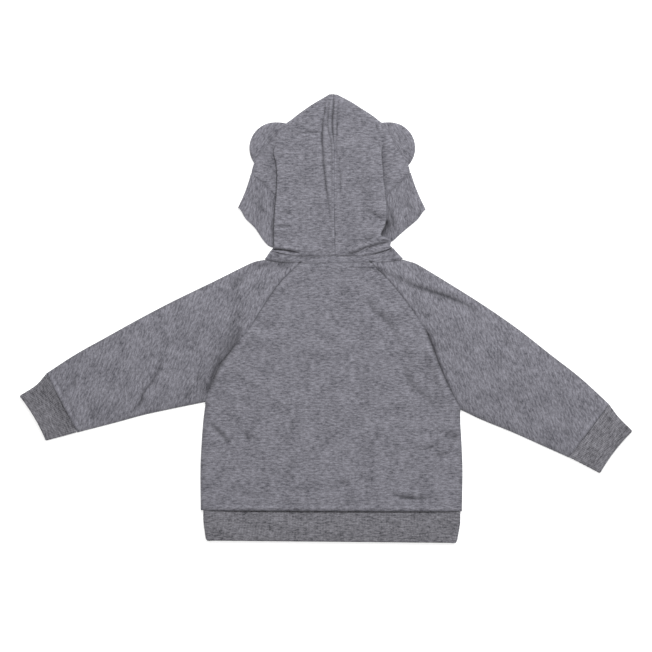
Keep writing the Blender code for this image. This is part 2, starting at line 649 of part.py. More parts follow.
def hood_row(index, row, side):
    """One row of a hood half: the centre section, the crease, then the return or the flap."""
    crease, end = spot_point(row.crease, side), spot_point(row.end, side)
    centre = Vector((side * SEAM, row.centre_up))
    base = table_path(HOOD_BASE, side)
    near_neck = max(0.0, 1.0 - index / NECK_ROWS)
    points = []
    for column in range(HOOD_COLUMNS):
        share = column / HOOD_COLUMNS
        dip = base.share(share) - base.points[0].lerp(base.points[-1], share)
        point = centre.lerp(crease, share) + Vector((0.0, dip.y * near_neck))
        points.append(with_height(point, hood_height(point)))
    room = (end - crease).length
    turned = crease_turn(crease, hood_height(crease), row.level, row.turn, side, room)
    start = turned[-1].to_2d()
    if row.turn == HANGING:
        drop = turned[-1].z - row.rim - SEAM
        hung = [with_height(end, turned[-1].z - drop * share) for share in HANGING_SHARES]
        return [*points, *turned, *hung]
    line = Path([end, start])
    if index == 0:
        front = table_path(HOOD_FRONT_BASE, side)
        line = Path([end, *(front.at(place) for place in FRONT_BASE_PLACES), start])
    return [*points, *turned, *reversed(seam_points(line, row.level, row.rim, row.tilt))]


def build_hood(side, name):
    rows = [hood_row(index, row, side) for index, row in enumerate(HOOD_ROWS)]
    for point in rows[-1]:
        point.z = PEAK
    return sew(name, rows, FLEECE, FLEECE_TONE)


# ---------------------------------------------------------------- hood face band
def band_line(seam, face, level, rim, tilt):
    """Points across the strip, from its seam edge to its face edge."""
    line = Path([seam, face])
    rest = [with_height(line.share(share), level) for share in BAND_SHARES]
    return [*seam_points(line, level, rim, tilt), *rest]


def band_side(side):
    """Lines across the strip on one side, from the neck to the brow."""
    lines = []
    before = None
    for row in BAND_ROWS:
        seam, face = spot_point(row.seam, side), spot_point(row.face, side)
        if row.turns_to is None:
            lines.append(band_line(seam, face, row.level, row.rim, row.tilt))
        else:
            along = (seam - face).normalized()
            outward = Vector((-along.y, along.x))
            if outward.dot((seam + face) / 2 - before) < 0:
                outward.negate()
            middle, half = (row.level + row.turns_to) / 2, (row.level - row.turns_to) / 2
            for angle in TURN_ANGLES:
                bulge = outward * CREASE_REACH * math.cos(math.radians(angle))
                level = middle + half * math.sin(math.radians(angle))
                lines.append(band_line(seam + bulge, face + bulge, level, level, 0))
        before = (seam + face) / 2
    return lines


def build_band():
    """One long strip round the face opening, from neck to neck."""
    rows = [*band_side(LEFT), *reversed(band_side(RIGHT))]
    return sew("hood_band", rows, FLEECE, FLEECE_TONE)


# ---------------------------------------------------------------- ears
def ear_rows(ear, level, rim):
    """Rows across one piece of an ear, from its root to its tip, low at its round edge."""
    centre = Vector((ear.side * ear.out, ear.up))
    outward = Vector((math.cos(math.radians(ear.lean)), math.sin(math.radians(ear.lean))))
    across = Vector((-outward.y, outward.x))
    root = math.degrees(math.asin(ear.root / ear.radius))
    rows = []
    for angle in (root, *EAR_ROWS):
        rise = ear.radius * math.sin(math.radians(angle))
        half = ear.radius * math.cos(math.radians(angle))
        row = []
        for share in EAR_SHARES:
            point = centre + outward * rise + across * half * share
            inward = ear.radius - (point - centre).length
            row.append(with_height(point, rim + (level - rim) * eased(inward, 0.0, EAR_REACH)))
        rows.append(row)
    return rows


def build_ears():
    for ear, name in zip(EARS, ("left_ear", "right_ear")):
        sew(f"{name}_back", ear_rows(ear, EAR_BACK, EAR_RIM), FLEECE, FLEECE_TONE)
        sew(f"{name}_front", ear_rows(ear, LAYER_1, LAYER_1), FLEECE, FLEECE_TONE)


# ---------------------------------------------------------------- build
for item in list(bpy.data.objects):
    bpy.data.objects.remove(item)

PIECES = bpy.data.collections.new("toddler_hoodie")
bpy.context.scene.collection.children.link(PIECES)
GARMENT_EDGE = edge_tree((SHOULDER, UNDERARM, SIDE))

back_neck_edge, front_neck_edge = build_panels()
build_sleeve(LEFT, "left_sleeve")
build_sleeve(RIGHT, "right_sleeve")
build_ribs()
build_neck_strip(back_neck_edge, front_neck_edge)
build_hood(LEFT, "hood_left")
build_hood(RIGHT, "hood_right")
build_band()
build_ears()
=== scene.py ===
"""Toddler's raglan hoodie with round ears, in grey marl fleece knit, laid flat on its front.

Every cut-and-sewn piece is its own thin cloth shell, shaped in millimetres. "Out" is
measured from the centre-back line and "up" from the bottom of the hem band.
puffed cloth, creases are soft troughs and ridges, and the ribs have real wales.
"""

import logging
import math
from collections.abc import Iterable, Sequence
from dataclasses import dataclass, field
from enum import Enum
from functools import partial

import bmesh
import bpy
import numpy as np
from mathutils import Matrix, Vector
from numpy.typing import NDArray

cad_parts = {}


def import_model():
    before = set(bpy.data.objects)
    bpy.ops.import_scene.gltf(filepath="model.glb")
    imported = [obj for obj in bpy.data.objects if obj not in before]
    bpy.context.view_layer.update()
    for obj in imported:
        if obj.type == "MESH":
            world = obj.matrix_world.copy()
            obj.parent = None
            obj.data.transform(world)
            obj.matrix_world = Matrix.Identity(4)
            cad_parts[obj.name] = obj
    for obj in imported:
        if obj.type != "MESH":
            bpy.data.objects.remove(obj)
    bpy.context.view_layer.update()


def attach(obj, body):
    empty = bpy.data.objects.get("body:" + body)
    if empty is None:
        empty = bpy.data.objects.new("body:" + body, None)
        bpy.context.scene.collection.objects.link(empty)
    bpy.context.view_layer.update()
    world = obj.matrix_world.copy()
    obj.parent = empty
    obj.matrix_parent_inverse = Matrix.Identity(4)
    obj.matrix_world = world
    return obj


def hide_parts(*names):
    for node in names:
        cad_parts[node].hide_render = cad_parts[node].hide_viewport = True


Array = NDArray[np.float64]
Pair = tuple[float, float]
Colour = tuple[float, float, float]

LOG = logging.getLogger("toddler_hoodie")

METRES = 0.001
ORIGIN_SHIFT = np.array([6.9, -280.2, 0])  # from the design lines to the frame's origin

FLEECE_WALL = 1.8
RIB_WALL = 2.8
FOLDED_EDGE = 1.8  # how far in from its folded edge a rib reaches its full wall
SEAM = 0.16  # half the gap between two pieces at their seam
SURFACE = 0.9  # mid height of a fleece layer that lies on the floor
MIDDLE = 2.4  # mid height at which upper and lower side meet

EDGE_REACH = 7  # how far in from its edge a fold has rounded over
EDGE_RISE = 3.3
DOME_REACH = 30  # and over what distance the loose cloth fills out
DOME_RISE = 3.4
LEAST_HEIGHT = 3.9  # of the upper side, where a crease sinks down to the lower one
COLLAR = 6.5  # mid height of the hood's base and of the strip beside it

# Painted shade in folds, seams, under pleats and at folded edges, and painted highlight on ridges:
PAINTED_EDGE_SHADE = 0.36  # painted shade, darker where the cloth rolls over at the garment's folded edges
ROLLED_OVER = (MIDDLE, 8)  # heights over which that fades
HOOD_START = (348, 362)  # and the distance up over which it stops
UNDER_PLEAT = (6.6, 8.4)  # heights over which a pleat's painted shadow fades
# the most painted shade that any point takes
MOST_PAINTED_SHADE = 1.5
NEAR_TURNS, NEAR_DEPTH = 3, 0.9  # how far round and how deep a small dip reaches, for the painted shade
WIDE_TURNS, WIDE_DEPTH = 21, 2
NEAR_RIDGE, WIDE_RIDGE = -0.18, -0.05  # how much lighter a ridge is painted, as painted highlight
LEAST_STEP = 0.2  # no two neighbours count as closer together than this

CREASE_GAIN = 2
CREASE_ENDS = (0.02, 0.98)  # shares of a fold's length between which it tapers
CREASE_POWER = 1.6  # how steep its sides are
UNEVEN, UNEVEN_TURNS = 0.18, 8  # how much and how fast its depth varies along it
LIP_AT, LIP_WIDTH = 2.3, 1.4  # where the roll beside it lies, in half widths
PUFF_WIDTH = 0.6  # of the puff beside a seam, as a share of its distance from the seam
SOFT_FLOOR = 0.15  # share of a crease's depth that goes below the least height
CALM, CALM_TURN = 0.4, 1.7  # how much one swell of the cloth calms another
CURVE_STEPS = 10
WELD = 1e-6
CUT_STEP = 61  # each piece takes its own part of the knit's pattern, by the length of its name


class Side(Enum):
    """Left or right as seen from above."""

    LEFT = -1
    RIGHT = 1


class Fold(Enum):
    """Whether a fold rises from the cloth or sinks into it."""

    RIDGE = 1
    TROUGH = -1


@dataclass(frozen=True)
class Spot:
    """A pair of matching points, one on each side of the centre line."""

    left_out: float
    left_up: float
    right_out: float
    right_up: float

    def on(self, side: Side) -> Array:
        """The point on one side."""
        if side is Side.LEFT:
            return np.array([-self.left_out, self.left_up])
        return np.array([self.right_out, self.right_up])


# ---------------------------------------------------------------- lines and shares
def curved(points: Array) -> Array:
    """A Catmull-Rom curve through the points.

    Args:
        points: control points, one a row.

    Returns:
        Closely spaced points of the curve.
    """
    if len(points) < 3:
        return points
    padded = np.vstack([2 * points[0] - points[1], points, 2 * points[-1] - points[-2]])
    t = np.linspace(0, 1, CURVE_STEPS + 1)[1:, None]
    runs = [points[:1]]
    for before, start, end, after in zip(padded, padded[1:], padded[2:], padded[3:]):
        slope = (end - before) * t
        bend = (2 * before - 5 * start + 4 * end - after) * t**2
        twist = (3 * start - before - 3 * end + after) * t**3
        runs.append(0.5 * (2 * start + slope + bend + twist))
    return np.vstack(runs)


class Line:
    """A line through points, read by distance or by share of its length."""

    def __init__(self, points: Array) -> None:
        """Measures the line along its points."""
        self.points = np.asarray(points, dtype=float)
        steps = np.linalg.norm(np.diff(self.points, axis=0), axis=1)
        self.marks = np.concatenate([[0], np.cumsum(steps)])
        self.length = float(self.marks[-1])

    def at(self, distances: Array) -> Array:
        """Points at distances along the line."""
        columns = [np.interp(distances, self.marks, axis) for axis in self.points.T]
        return np.stack(columns, axis=-1)

    def share(self, shares: Array) -> Array:
        """Points at shares of the line's length."""
        return self.at(np.asarray(shares) * self.length)

    def moved(self, distance: float) -> "Line":
        """Moves the line sideways.

        Args:
            distance: how far each point moves to its left.

        Returns:
            The moved line.
        """
        before = np.vstack([self.points[:1], self.points[:-1]])
        after = np.vstack([self.points[1:], self.points[-1:]])
        along = after - before
        left = np.stack([-along[:, 1], along[:, 0]], axis=1)
        left /= np.linalg.norm(left, axis=1)[:, None]
        return Line(self.points + left * distance)

    def backwards(self) -> "Line":
        """The same line from its other end."""
        return Line(self.points[::-1])

    def then(self, other: "Line") -> "Line":
        """This line and another that starts where it ends."""
        return Line(np.vstack([self.points, other.points[1:]]))


def along(table: Sequence[Spot], side: Side) -> Line:
    """The curve through a table of spots on one side."""
    return Line(curved(np.array([spot.on(side) for spot in table])))


def edged(count: int, weight: float) -> Array:
    """Shares from 0 to 1 that lie closer together near both ends.

    Args:
        count: how many shares.
        weight: 0 spaces them evenly, towards 1 crowds them at the ends.

    Returns:
        The shares in order.
    """
    even = np.linspace(0, 1, count)
    return (1 - weight) * even + weight * (0.5 - 0.5 * np.cos(np.pi * even))


def eased(values: Array, start: float, end: float) -> Array:
    """0 before start, 1 past end, a soft rise between."""
    share = np.clip((values - start) / (end - start), 0, 1)
    return 0.5 - 0.5 * np.cos(np.pi * share)


def rounded(inward: Array, reach: float) -> Array:
    """Quarter round from 0 at an edge to 1 at its reach."""
    return np.sqrt(1 - (1 - np.clip(inward / reach, 0, 1)) ** 2)


def patch(top: Line, bottom: Line, left: Line, right: Line, across: Array, down: Array) -> Array:
    """Fills four edges with a smooth grid of points.

    Args:
        top, bottom: edges from left to right.
        left, right: edges from top to bottom.
        across, down: shares at which the grid is read.

    Returns:
        Rows of points in the plane.
    """
    u = across[None, :, None]
    v = down[:, None, None]
    over, under = top.share(across)[None], bottom.share(across)[None]
    near, far = left.share(down)[:, None], right.share(down)[:, None]
    corners = (1 - u) * (1 - v) * top.points[0] + u * (1 - v) * top.points[-1]
    corners = corners + (1 - u) * v * bottom.points[0] + u * v * bottom.points[-1]
    return (1 - v) * over + v * under + (1 - u) * near + u * far - corners


def between_rows(rows: Array, count: int) -> Array:
    """Smooth rows through a few given ones, without swinging past them.

    Args:
        rows: given rows of points.
        count: how many rows to return.

    Returns:
        Evenly spaced rows.
    """
    gaps = np.linalg.norm(np.diff(rows, axis=0), axis=2).mean(axis=1)
    marks = np.concatenate([[0], np.cumsum(gaps)])
    slopes = np.diff(rows, axis=0) / gaps[:, None, None]
    before, after = slopes[:-1], slopes[1:]
    same = before * after > 0
    total = np.where(same, before + after, 1)
    inner = np.where(same, 2 * before * after / total, 0)
    tangents = np.concatenate([slopes[:1], inner, slopes[-1:]])
    at = np.linspace(0, marks[-1], count)
    index = np.clip(np.searchsorted(marks, at, side="right") - 1, 0, len(gaps) - 1)
    gap = gaps[index][:, None, None]
    t = ((at - marks[index]) / gaps[index])[:, None, None]
    start = (2 * t**3 - 3 * t**2 + 1) * rows[index] + (t**3 - 2 * t**2 + t) * gap * tangents[index]
    end = (3 * t**2 - 2 * t**3) * rows[index + 1] + (t**3 - t**2) * gap * tangents[index + 1]
    return start + end


def beside(points: Array, line: Array) -> tuple[Array, Array]:
    """How points lie beside a line.

    Args:
        points: grid of points in the plane.
        line: points of the line.

    Returns:
        The distance from the line, positive on its left, and the share along it.
    """
    flat = points.reshape(-1, 2)
    marks = Line(line).marks
    nearest = np.full(len(flat), np.inf)
    signed = np.zeros(len(flat))
    share = np.zeros(len(flat))
    for index, (start, end) in enumerate(zip(line, line[1:])):
        run = end - start
        t = np.clip((flat - start) @ run / (run @ run), 0, 1)
        off = flat - start - t[:, None] * run
        distance = np.hypot(off[:, 0], off[:, 1])
        closer = distance < nearest
        turn = run[0] * off[:, 1] - run[1] * off[:, 0]
        signed = np.where(closer, np.where(turn < 0, -distance, distance), signed)
        share = np.where(closer, marks[index] + t * np.hypot(*run), share)
        nearest = np.minimum(nearest, distance)
    return signed.reshape(points.shape[:-1]), (share / marks[-1]).reshape(points.shape[:-1])


def painted_fold_shade(rows: Array, closed: bool) -> Array:
    """Painted shade from how deep each point lies among its neighbours, near and wider round.

    Args:
        rows: grid of points in millimetres.
        closed: whether the last column meets the first.

    Returns:
        The painted shade, from a little below 0 on a ridge, which paints it lighter, to 1 in a deep fold.
    """

    def padded(values: Array) -> Array:
        """The grid with a ring of neighbours, carried on straight past its edges."""
        before, after = 2 * values[:, :1] - values[:, 1:2], 2 * values[:, -1:] - values[:, -2:-1]
        if closed:
            before, after = values[:, -2:-1], values[:, 1:2]
        wide = np.concatenate([before, values, after], axis=1)
        return np.concatenate([2 * wide[:1] - wide[1:2], wide, 2 * wide[-1:] - wide[-2:-1]])

    ring = padded(rows)
    places = ((slice(1, -1), slice(None, -2)), (slice(1, -1), slice(2, None)))
    places = (*places, (slice(None, -2), slice(1, -1)), (slice(2, None), slice(1, -1)))
    steps = [np.maximum(np.linalg.norm(ring[place] - rows, axis=-1), LEAST_STEP) for place in places]
    spans = (steps[0] + steps[1], steps[0] + steps[1], steps[2] + steps[3], steps[2] + steps[3])
    weights = [1 / (step * span) for step, span in zip(steps, spans)]
    smooth = rows[..., 2]
    depth = np.zeros(smooth.shape)
    for turn in range(NEAR_TURNS + WIDE_TURNS):
        ring = padded(smooth)
        smooth = sum(weight * ring[place] for weight, place in zip(weights, places)) / sum(weights)
        if turn + 1 == NEAR_TURNS:
            depth += 0.5 * np.clip((smooth - rows[..., 2]) / NEAR_DEPTH, NEAR_RIDGE, 1)
    return depth + 0.5 * np.clip((smooth - rows[..., 2]) / WIDE_DEPTH, WIDE_RIDGE, 1)


def lengths_along(rows: Array) -> Array:
    """Distance travelled along each row, for a flat cut."""
    steps = np.linalg.norm(np.diff(rows, axis=1), axis=2)
    return np.concatenate([np.zeros((len(rows), 1)), np.cumsum(steps, axis=1)], axis=1)


# ---- creases
@dataclass(frozen=True)
class Crease:
    """A fold placed along a given path.

    depth is how far it sinks or rises, width its half width, and lip the height of the
    soft roll on its left (or right, if negative) as a share of the depth.
    """

    path: tuple[Pair, ...]
    depth: float
    width: float
    lip: float = 0.35
    fold: Fold = Fold.TROUGH
    fade: float = 0.7
    spread: float = 1.0  # how much wider it is on its right

    def height(self, points: Array) -> Array:
        """Works out the fold's shape.

        Args:
            points: places in the plane.

        Returns:
            The height that it adds at each place.
        """
        signed, share = beside(points, curved(np.array(self.path)))
        reach = signed / np.where(signed < 0, self.width * self.spread, self.width)
        taper = np.sin(np.pi * np.clip(share, *CREASE_ENDS)) ** self.fade
        uneven = 1 + UNEVEN * np.sin(UNEVEN_TURNS * share + self.path[0][0])
        main = self.fold.value * np.exp(-np.abs(reach) ** CREASE_POWER)
        aside = reach - math.copysign(LIP_AT, self.lip)
        roll = abs(self.lip) * np.exp(-((aside / LIP_WIDTH) ** 2))
        return CREASE_GAIN * self.depth * taper * uneven * (main + roll)


def folded(creases: Iterable[Crease], points: Array, start: Array | float = 0) -> Array:
    """The height at each point once several creases are added to what it starts from."""
    return sum((crease.height(points) for crease in creases), start)


# Paths of painted shadow under the hood's pleats: they darken the colour and do not shape the cloth.
PAINTED_PLEAT_SHADOWS = (
    Crease(((69.5, 404.5), (67.5, 396), (63.5, 388.5), (61, 384)), 0.5, 4.8, 0, fade=0.35, spread=0.9),
    Crease(((62, 512), (61, 490), (62.8, 465), (65.5, 440), (67.5, 420), (69, 404)), 0.2, 4.6, 0, fade=0.3,
           spread=0.4),
    Crease(((-74.5, 500), (-74, 486), (-71, 466), (-70.5, 447), (-72, 429), (-73, 408)), 0.11, 1.6, 0,
           fade=0.3, spread=3.4),
    Crease(((-62, 366.8), (-70, 367.2), (-76, 366)), 0.25, 1.6, 0),
)
# Paths of painted shade in seams and folds: they darken the colour and do not shape the cloth.
PAINTED_SEAM_AND_FOLD_SHADE = (
    Crease(((-52, 359.2), (-40, 357.2), (-27.5, 356.6), (-13, 357.9), (0, 359)), 0.16, 1.3, 0, fade=0.3),
    Crease(((0, 359), (22, 358.8), (42, 358.8), (52, 361.8), (72.5, 367)), 0.16, 1.3, 0, fade=0.3),
    Crease(((-88, 349.6), (-65, 349.8), (-42.5, 350.2), (-20, 349), (0, 349.8)), 0.13, 1.3, 0, fade=0.3),
    Crease(((0, 349.8), (25, 350.2), (48.5, 350.8), (66, 350.6)), 0.1, 1.3, 0, fade=0.3),
    Crease(((-40, 350.4), (-65, 325.5), (-84, 299), (-102, 270)), 0.28, 1.5, 0, fade=0.3),
    Crease(((48.5, 351), (73.5, 325.5), (95, 299), (111, 276)), 0.24, 1.3, 0, fade=0.3),
    Crease(((-108, 278), (-116, 259), (-131, 235), (-141, 222), (-149, 205), (-158, 186)), 0.22, 1.6, 0,
           fade=0.3, spread=10),
    Crease(((-116, 262), (-124, 248), (-134, 236)), 0.14, 5, 0, fade=0.4),
    Crease(((-138, 228), (-147, 208), (-152, 197), (-160, 186)), 0.1, 4.4, 0, fade=0.4),
    Crease(((116, 272), (124, 252), (131, 233), (136, 220)), 0.2, 4.8, 0, spread=0.5),
    Crease(((-356, 208), (-344, 186), (-333, 165), (-320, 140)), 0.2, 0.6, 0, fade=0.2, spread=22),
    Crease(((-95, 346.5), (-70, 344.5), (-46, 345.5)), 0.05, 5, 0),
    Crease(((-99, 461), (-88, 450.8), (-73, 437)), 0.13, 1.2, 0, fade=0.3),
    Crease(((96.5, 461.5), (86, 451.4), (69.5, 435.8)), 0.13, 1.2, 0, fade=0.3),
    Crease(((3.4, 426), (3.8, 395), (4.4, 361)), 0.24, 1, 0, fade=0.3),
    Crease(((-59, 525), (-69, 515), (-79, 502), (-91, 485), (-98, 474)), 0.07, 2.6, 0, fade=0.4),
)


def painted_extra_shade(rows: Array) -> Array:
    """Painted shade where hardly any light gets in: in seams, under pleats and round folded edges.

    Args:
        rows: grid of points.

    Returns:
        The painted shade that comes on top of the one painted in the folds.
    """
    plane, height = rows[..., :2], rows[..., 2]
    below = 1 - eased(height, *UNDER_PLEAT)
    above = eased(height, MIDDLE, MIDDLE + 1)
    rolled_edge_shade = PAINTED_EDGE_SHADE * (1 - eased(height, *ROLLED_OVER)) * (1 - eased(rows[..., 1], *HOOD_START))
    return rolled_edge_shade - below * folded(PAINTED_PLEAT_SHADOWS, plane) - above * folded(PAINTED_SEAM_AND_FOLD_SHADE, plane)


@dataclass(frozen=True)
class Wave:
    """One slow swell of loosely lying cloth."""

    length: float
    angle: float
    phase: float
    height: float

    def at(self, points: Array) -> Array:
        """Height of the swell at each point."""
        turn = math.radians(self.angle)
        run = points[..., 0] * math.cos(turn) + points[..., 1] * math.sin(turn)
        return self.height * np.sin(2 * math.pi * run / self.length + self.phase)


WAVES = (
    Wave(148, 24, 0.4, 0.36),
    Wave(93, 112, 2.1, 0.28),
    Wave(61, 71, 4, 0.2),
    Wave(43, 158, 1.2, 0.13),
    Wave(27, 38, 5.3, 0.08),
    Wave(17, 97, 3.3, 0.045),
)


def loose_cloth(points: Array) -> Array:
    """The cloth's slight unevenness, a product of swells so that it never repeats in rows.

    Args:
        points: places in the plane.

    Returns:
        The height at each place.
    """
    total = np.zeros(points.shape[:-1])
    for wave, other in zip(WAVES, (*WAVES[1:], WAVES[0])):
        calming = np.sin(other.at(points) / other.height * CALM_TURN)
        total += wave.at(points) * (1 - CALM + CALM * calming)
    return total


# ---- outlines of the garment
Table = tuple[Spot, ...]


def spots(*rows: tuple[float, float, float, float]) -> Table:
    """A table of spots, each given as left out, left up, right out and right up."""
    return tuple(Spot(*row) for row in rows)


NECK_END = (83.2, 353.2, 88, 353.6)  # where the shoulder's fold meets the neck
BACK_NOTCH = (40, 350.4, 48.5, 351)  # where a raglan seam meets the neck
FRONT_NOTCH = (52, 331.5, 54, 331.5)
ARMPIT = (159, 177, 161, 167.4)
HOOD_CORNER = (76.4, 364.8, 75.6, 368.6)


@dataclass(frozen=True)
class Outlines:
    """Where the garment's seams and folds lie, neck to hem and shoulder to cuff."""

    back_raglan: Table = spots(
        BACK_NOTCH, (65, 325.5, 73.5, 325.5), (84, 299, 95, 299), (102, 270, 111, 276),
        (121, 247, 122, 255), (138, 225, 132, 228), (150, 203, 146, 196), ARMPIT,
    )
    front_raglan: Table = spots(
        FRONT_NOTCH, (74, 306, 77, 306), (97, 277, 100, 277), (120, 246, 121, 246), (142, 213, 142, 209),
        ARMPIT,
    )
    back_neck: Table = spots(NECK_END, (62, 350.4, 68, 351), BACK_NOTCH)
    front_neck: Table = spots(NECK_END, (68, 341.5, 71, 342.5), FRONT_NOTCH)
    front_throat: Table = spots(FRONT_NOTCH, (28, 321.5, 29, 321.5), (0, 318, 0, 318))
    back_throat: Table = spots(BACK_NOTCH, (21, 349.2, 24, 350.6), (0, 350, 0, 350))
    shoulder: Table = spots(
        NECK_END, (95, 351.2, 97, 351), (108.4, 345.6, 107.6, 346.9), (151, 324.4, 143.6, 325.2),
        (197.5, 301.9, 190.8, 295.4), (240, 279.7, 233.6, 265.6), (280, 257.5, 272, 235.4),
        (320.2, 235, 309.9, 205.9), (356.8, 211.2, 346, 172.8),
    )
    underarm: Table = spots(
        ARMPIT, (200, 168.6, 187.5, 154.7), (235, 161, 225, 139.5), (270, 151.5, 260, 123.9),
        (318.6, 138.9, 296.4, 107.6),
    )
    side: Table = spots(
        (157.4, 174, 159.6, 165), (159.9, 154, 159.8, 148), (162.2, 124, 161.2, 124),
        (163.6, 90, 162.4, 90), (163.2, 41, 161.6, 39.5),
    )
    hem_side: Table = spots((159.8, 40.6, 159.2, 39.1), (159.4, 26, 158.8, 24), (156.2, 2.9, 154.6, 0))
    cuff_top: Table = spots(
        (356.2, 210.4, 345.8, 172.1), (369.4, 196, 357.4, 156.6), (390, 183, 374.8, 139.2),
    )
    cuff_low: Table = spots(
        (319.4, 139.5, 297.1, 108.2), (338, 134.3, 314.4, 99.4), (358.2, 129, 335.4, 88.2),
    )
    hood_base: Table = spots((0, 358.9, 0, 358.9), (34, 357.7, 41, 359), (60, 361, 62, 364), HOOD_CORNER)
    hood_front_base: Table = spots(
        HOOD_CORNER, (62, 350.5, 62, 351.5), (40, 337.5, 40, 337.5), (20, 329.6, 20, 329.6),
        (0, 326.8, 0, 326.8),
    )

    def armhole(self, side: Side, back: bool) -> Line:
        """The sleeve's seam edge: along the neck, then down the raglan seam."""
        tables = (self.back_neck, self.back_raglan) if back else (self.front_neck, self.front_raglan)
        neck, raglan = (along(table, side) for table in tables)
        return neck.then(raglan)

    def neckline(self, back: bool) -> Line:
        """A body panel's neck edge, left to right."""
        throat = self.back_throat if back else self.front_throat
        return along(throat, Side.LEFT).then(along(throat, Side.RIGHT).backwards())


BACK_CREASES = (
    Crease(((-154, 152), (-143, 141), (-135, 133), (-131, 123)), 1.2, 4.4, -0.4),
    Crease(((-134, 124), (-128, 130), (-122, 137)), 0.5, 4),
    Crease(((-116, 146), (-106, 134), (-99, 122)), 0.7, 5.6),
    Crease(((74, 63), (84, 58.5), (97, 56.2), (112, 56), (131, 60)), 1.3, 3.4, 0.45),
    Crease(((140, 139), (150, 134), (160, 131)), 1.2, 6),
    Crease(((113, 118), (124, 120), (136, 126)), 0.8, 4.2),
    Crease(((126, 110), (137, 111), (149, 113)), 1, 4),
    Crease(((88, 228), (96, 204), (108, 190), (122.5, 176), (138, 162)), 1.2, 6.4),
    Crease(((30, 309), (45, 298), (57, 287), (68, 277), (79, 262), (88, 242)), 1.4, 6.2),
    Crease(((48, 345), (56, 339), (64, 333)), 0.7, 3.6),
    Crease(((88, 246), (96, 232), (103, 214)), 0.9, 6),
    Crease(((-118, 208), (-104, 199), (-92, 194)), 0.6, 5),
    Crease(((-96, 276), (-86, 272), (-72, 273)), 0.7, 5),
    Crease(((-40, 108), (-54, 92), (-62, 74)), 0.5, 7),
    Crease(((30, 74), (14, 76), (-4, 73)), 0.5, 5),
    Crease(((-120, 66), (-100, 60), (-76, 61)), 0.5, 5),
    Crease(((-134, 226), (-140, 210), (-148, 192)), 1.6, 5, 0, Fold.RIDGE),
    Crease(((118, 250), (132, 218), (150, 184)), 1.4, 5.5, 0, Fold.RIDGE),
)
SLEEVE_CREASES = (
    Crease(((40, 343), (58, 339.6), (85, 329), (110, 319), (141, 309), (164, 299.5), (184, 288)), 1.45, 3.4,
           0.5, fade=0.4, spread=1.8),
    Crease(((-212, 226), (-219, 212), (-226, 200), (-236, 187), (-240, 175), (-251, 161)), 1.5, 4.6, -0.4,
           fade=0.5, spread=0.8),
    Crease(((-166, 214), (-168.5, 205), (-169, 197)), 0.9, 3.6),
    Crease(((-99, 344), (-84, 347), (-64, 347.5), (-46, 344)), 1.5, 6, -0.2),
    Crease(((-106, 333), (-116, 328), (-128, 319)), 1, 6.5),
    Crease(((-116, 262), (-121, 247), (-132, 232), (-141, 222), (-148, 205), (-155, 190)), 1.8, 2.6, 0.25,
           fade=0.35, spread=5),
    Crease(((-139, 226), (-147, 212), (-152, 198), (-160, 188)), 1.6, 3.4, 0, fade=0.5),
    Crease(((-112, 292), (-123, 276), (-134, 262)), 1.3, 7, 0),
    Crease(((116, 272), (121.5, 257), (129, 238), (134, 222), (146, 196), (158, 174)), 2.2, 2.6, -0.25,
           fade=0.5),
    Crease(((119, 268), (124, 250), (130, 234)), 1.4, 5.6, 0),
    Crease(((126, 243), (138, 241), (150, 247)), 1.1, 5.5),
    Crease(((108, 288), (116, 283), (124, 282)), 0.8, 4.2),
    Crease(((228, 186), (232, 172), (226, 160)), 0.7, 5),
    Crease(((214, 256), (226, 242), (236, 236)), 0.6, 5),
    Crease(((-190, 178), (-180, 184), (-172, 192)), 0.8, 4),
    Crease(((-306, 176), (-300, 162), (-296, 150)), 0.7, 5),
    Crease(((-318, 214), (-322, 204), (-322, 190)), 0.6, 4),
    Crease(((300, 132), (292, 138), (280, 140)), 0.7, 5),
    Crease(((-120, 316), (-190, 274), (-260, 236)), 1.1, 22, 0, Fold.RIDGE),
    Crease(((120, 300), (190, 256), (280, 190)), 1.1, 22, 0, Fold.RIDGE),
)
HIDDEN_CREASES = (
    Crease(((-90, 250), (-60, 236), (-22, 240)), 1.3, 6),
    Crease(((30, 196), (70, 182), (104, 190)), 1.2, 7),
    Crease(((-120, 120), (-92, 98), (-50, 92)), 1.4, 6),
    Crease(((12, 90), (54, 74), (100, 84)), 1.1, 6),
    Crease(((-190, 250), (-210, 222), (-216, 190)), 1.4, 6),
    Crease(((-280, 220), (-290, 196), (-288, 168)), 1.1, 5),
    Crease(((190, 240), (206, 210), (206, 176)), 1.4, 6),
    Crease(((262, 200), (280, 180), (284, 150)), 1.1, 5),
)


@dataclass(frozen=True)
class SeamDip:
    """Cloth sinking into a seam and puffing up beside it."""

    depth: float
    width: float
    puff: float
    puff_at: float

    def height(self, points: Array, seam: Line) -> Array:
        """Works out the dip and the puff.

        Args:
            points: places in the plane.
            seam: where the seam runs.

        Returns:
            The height that it adds at each place.
        """
        distance = np.abs(beside(points, seam.points)[0])
        dip = self.depth * np.exp(-((distance / self.width) ** 2))
        puff = self.puff * np.exp(-(((distance - self.puff_at) / (PUFF_WIDTH * self.puff_at)) ** 2))
        return puff - dip


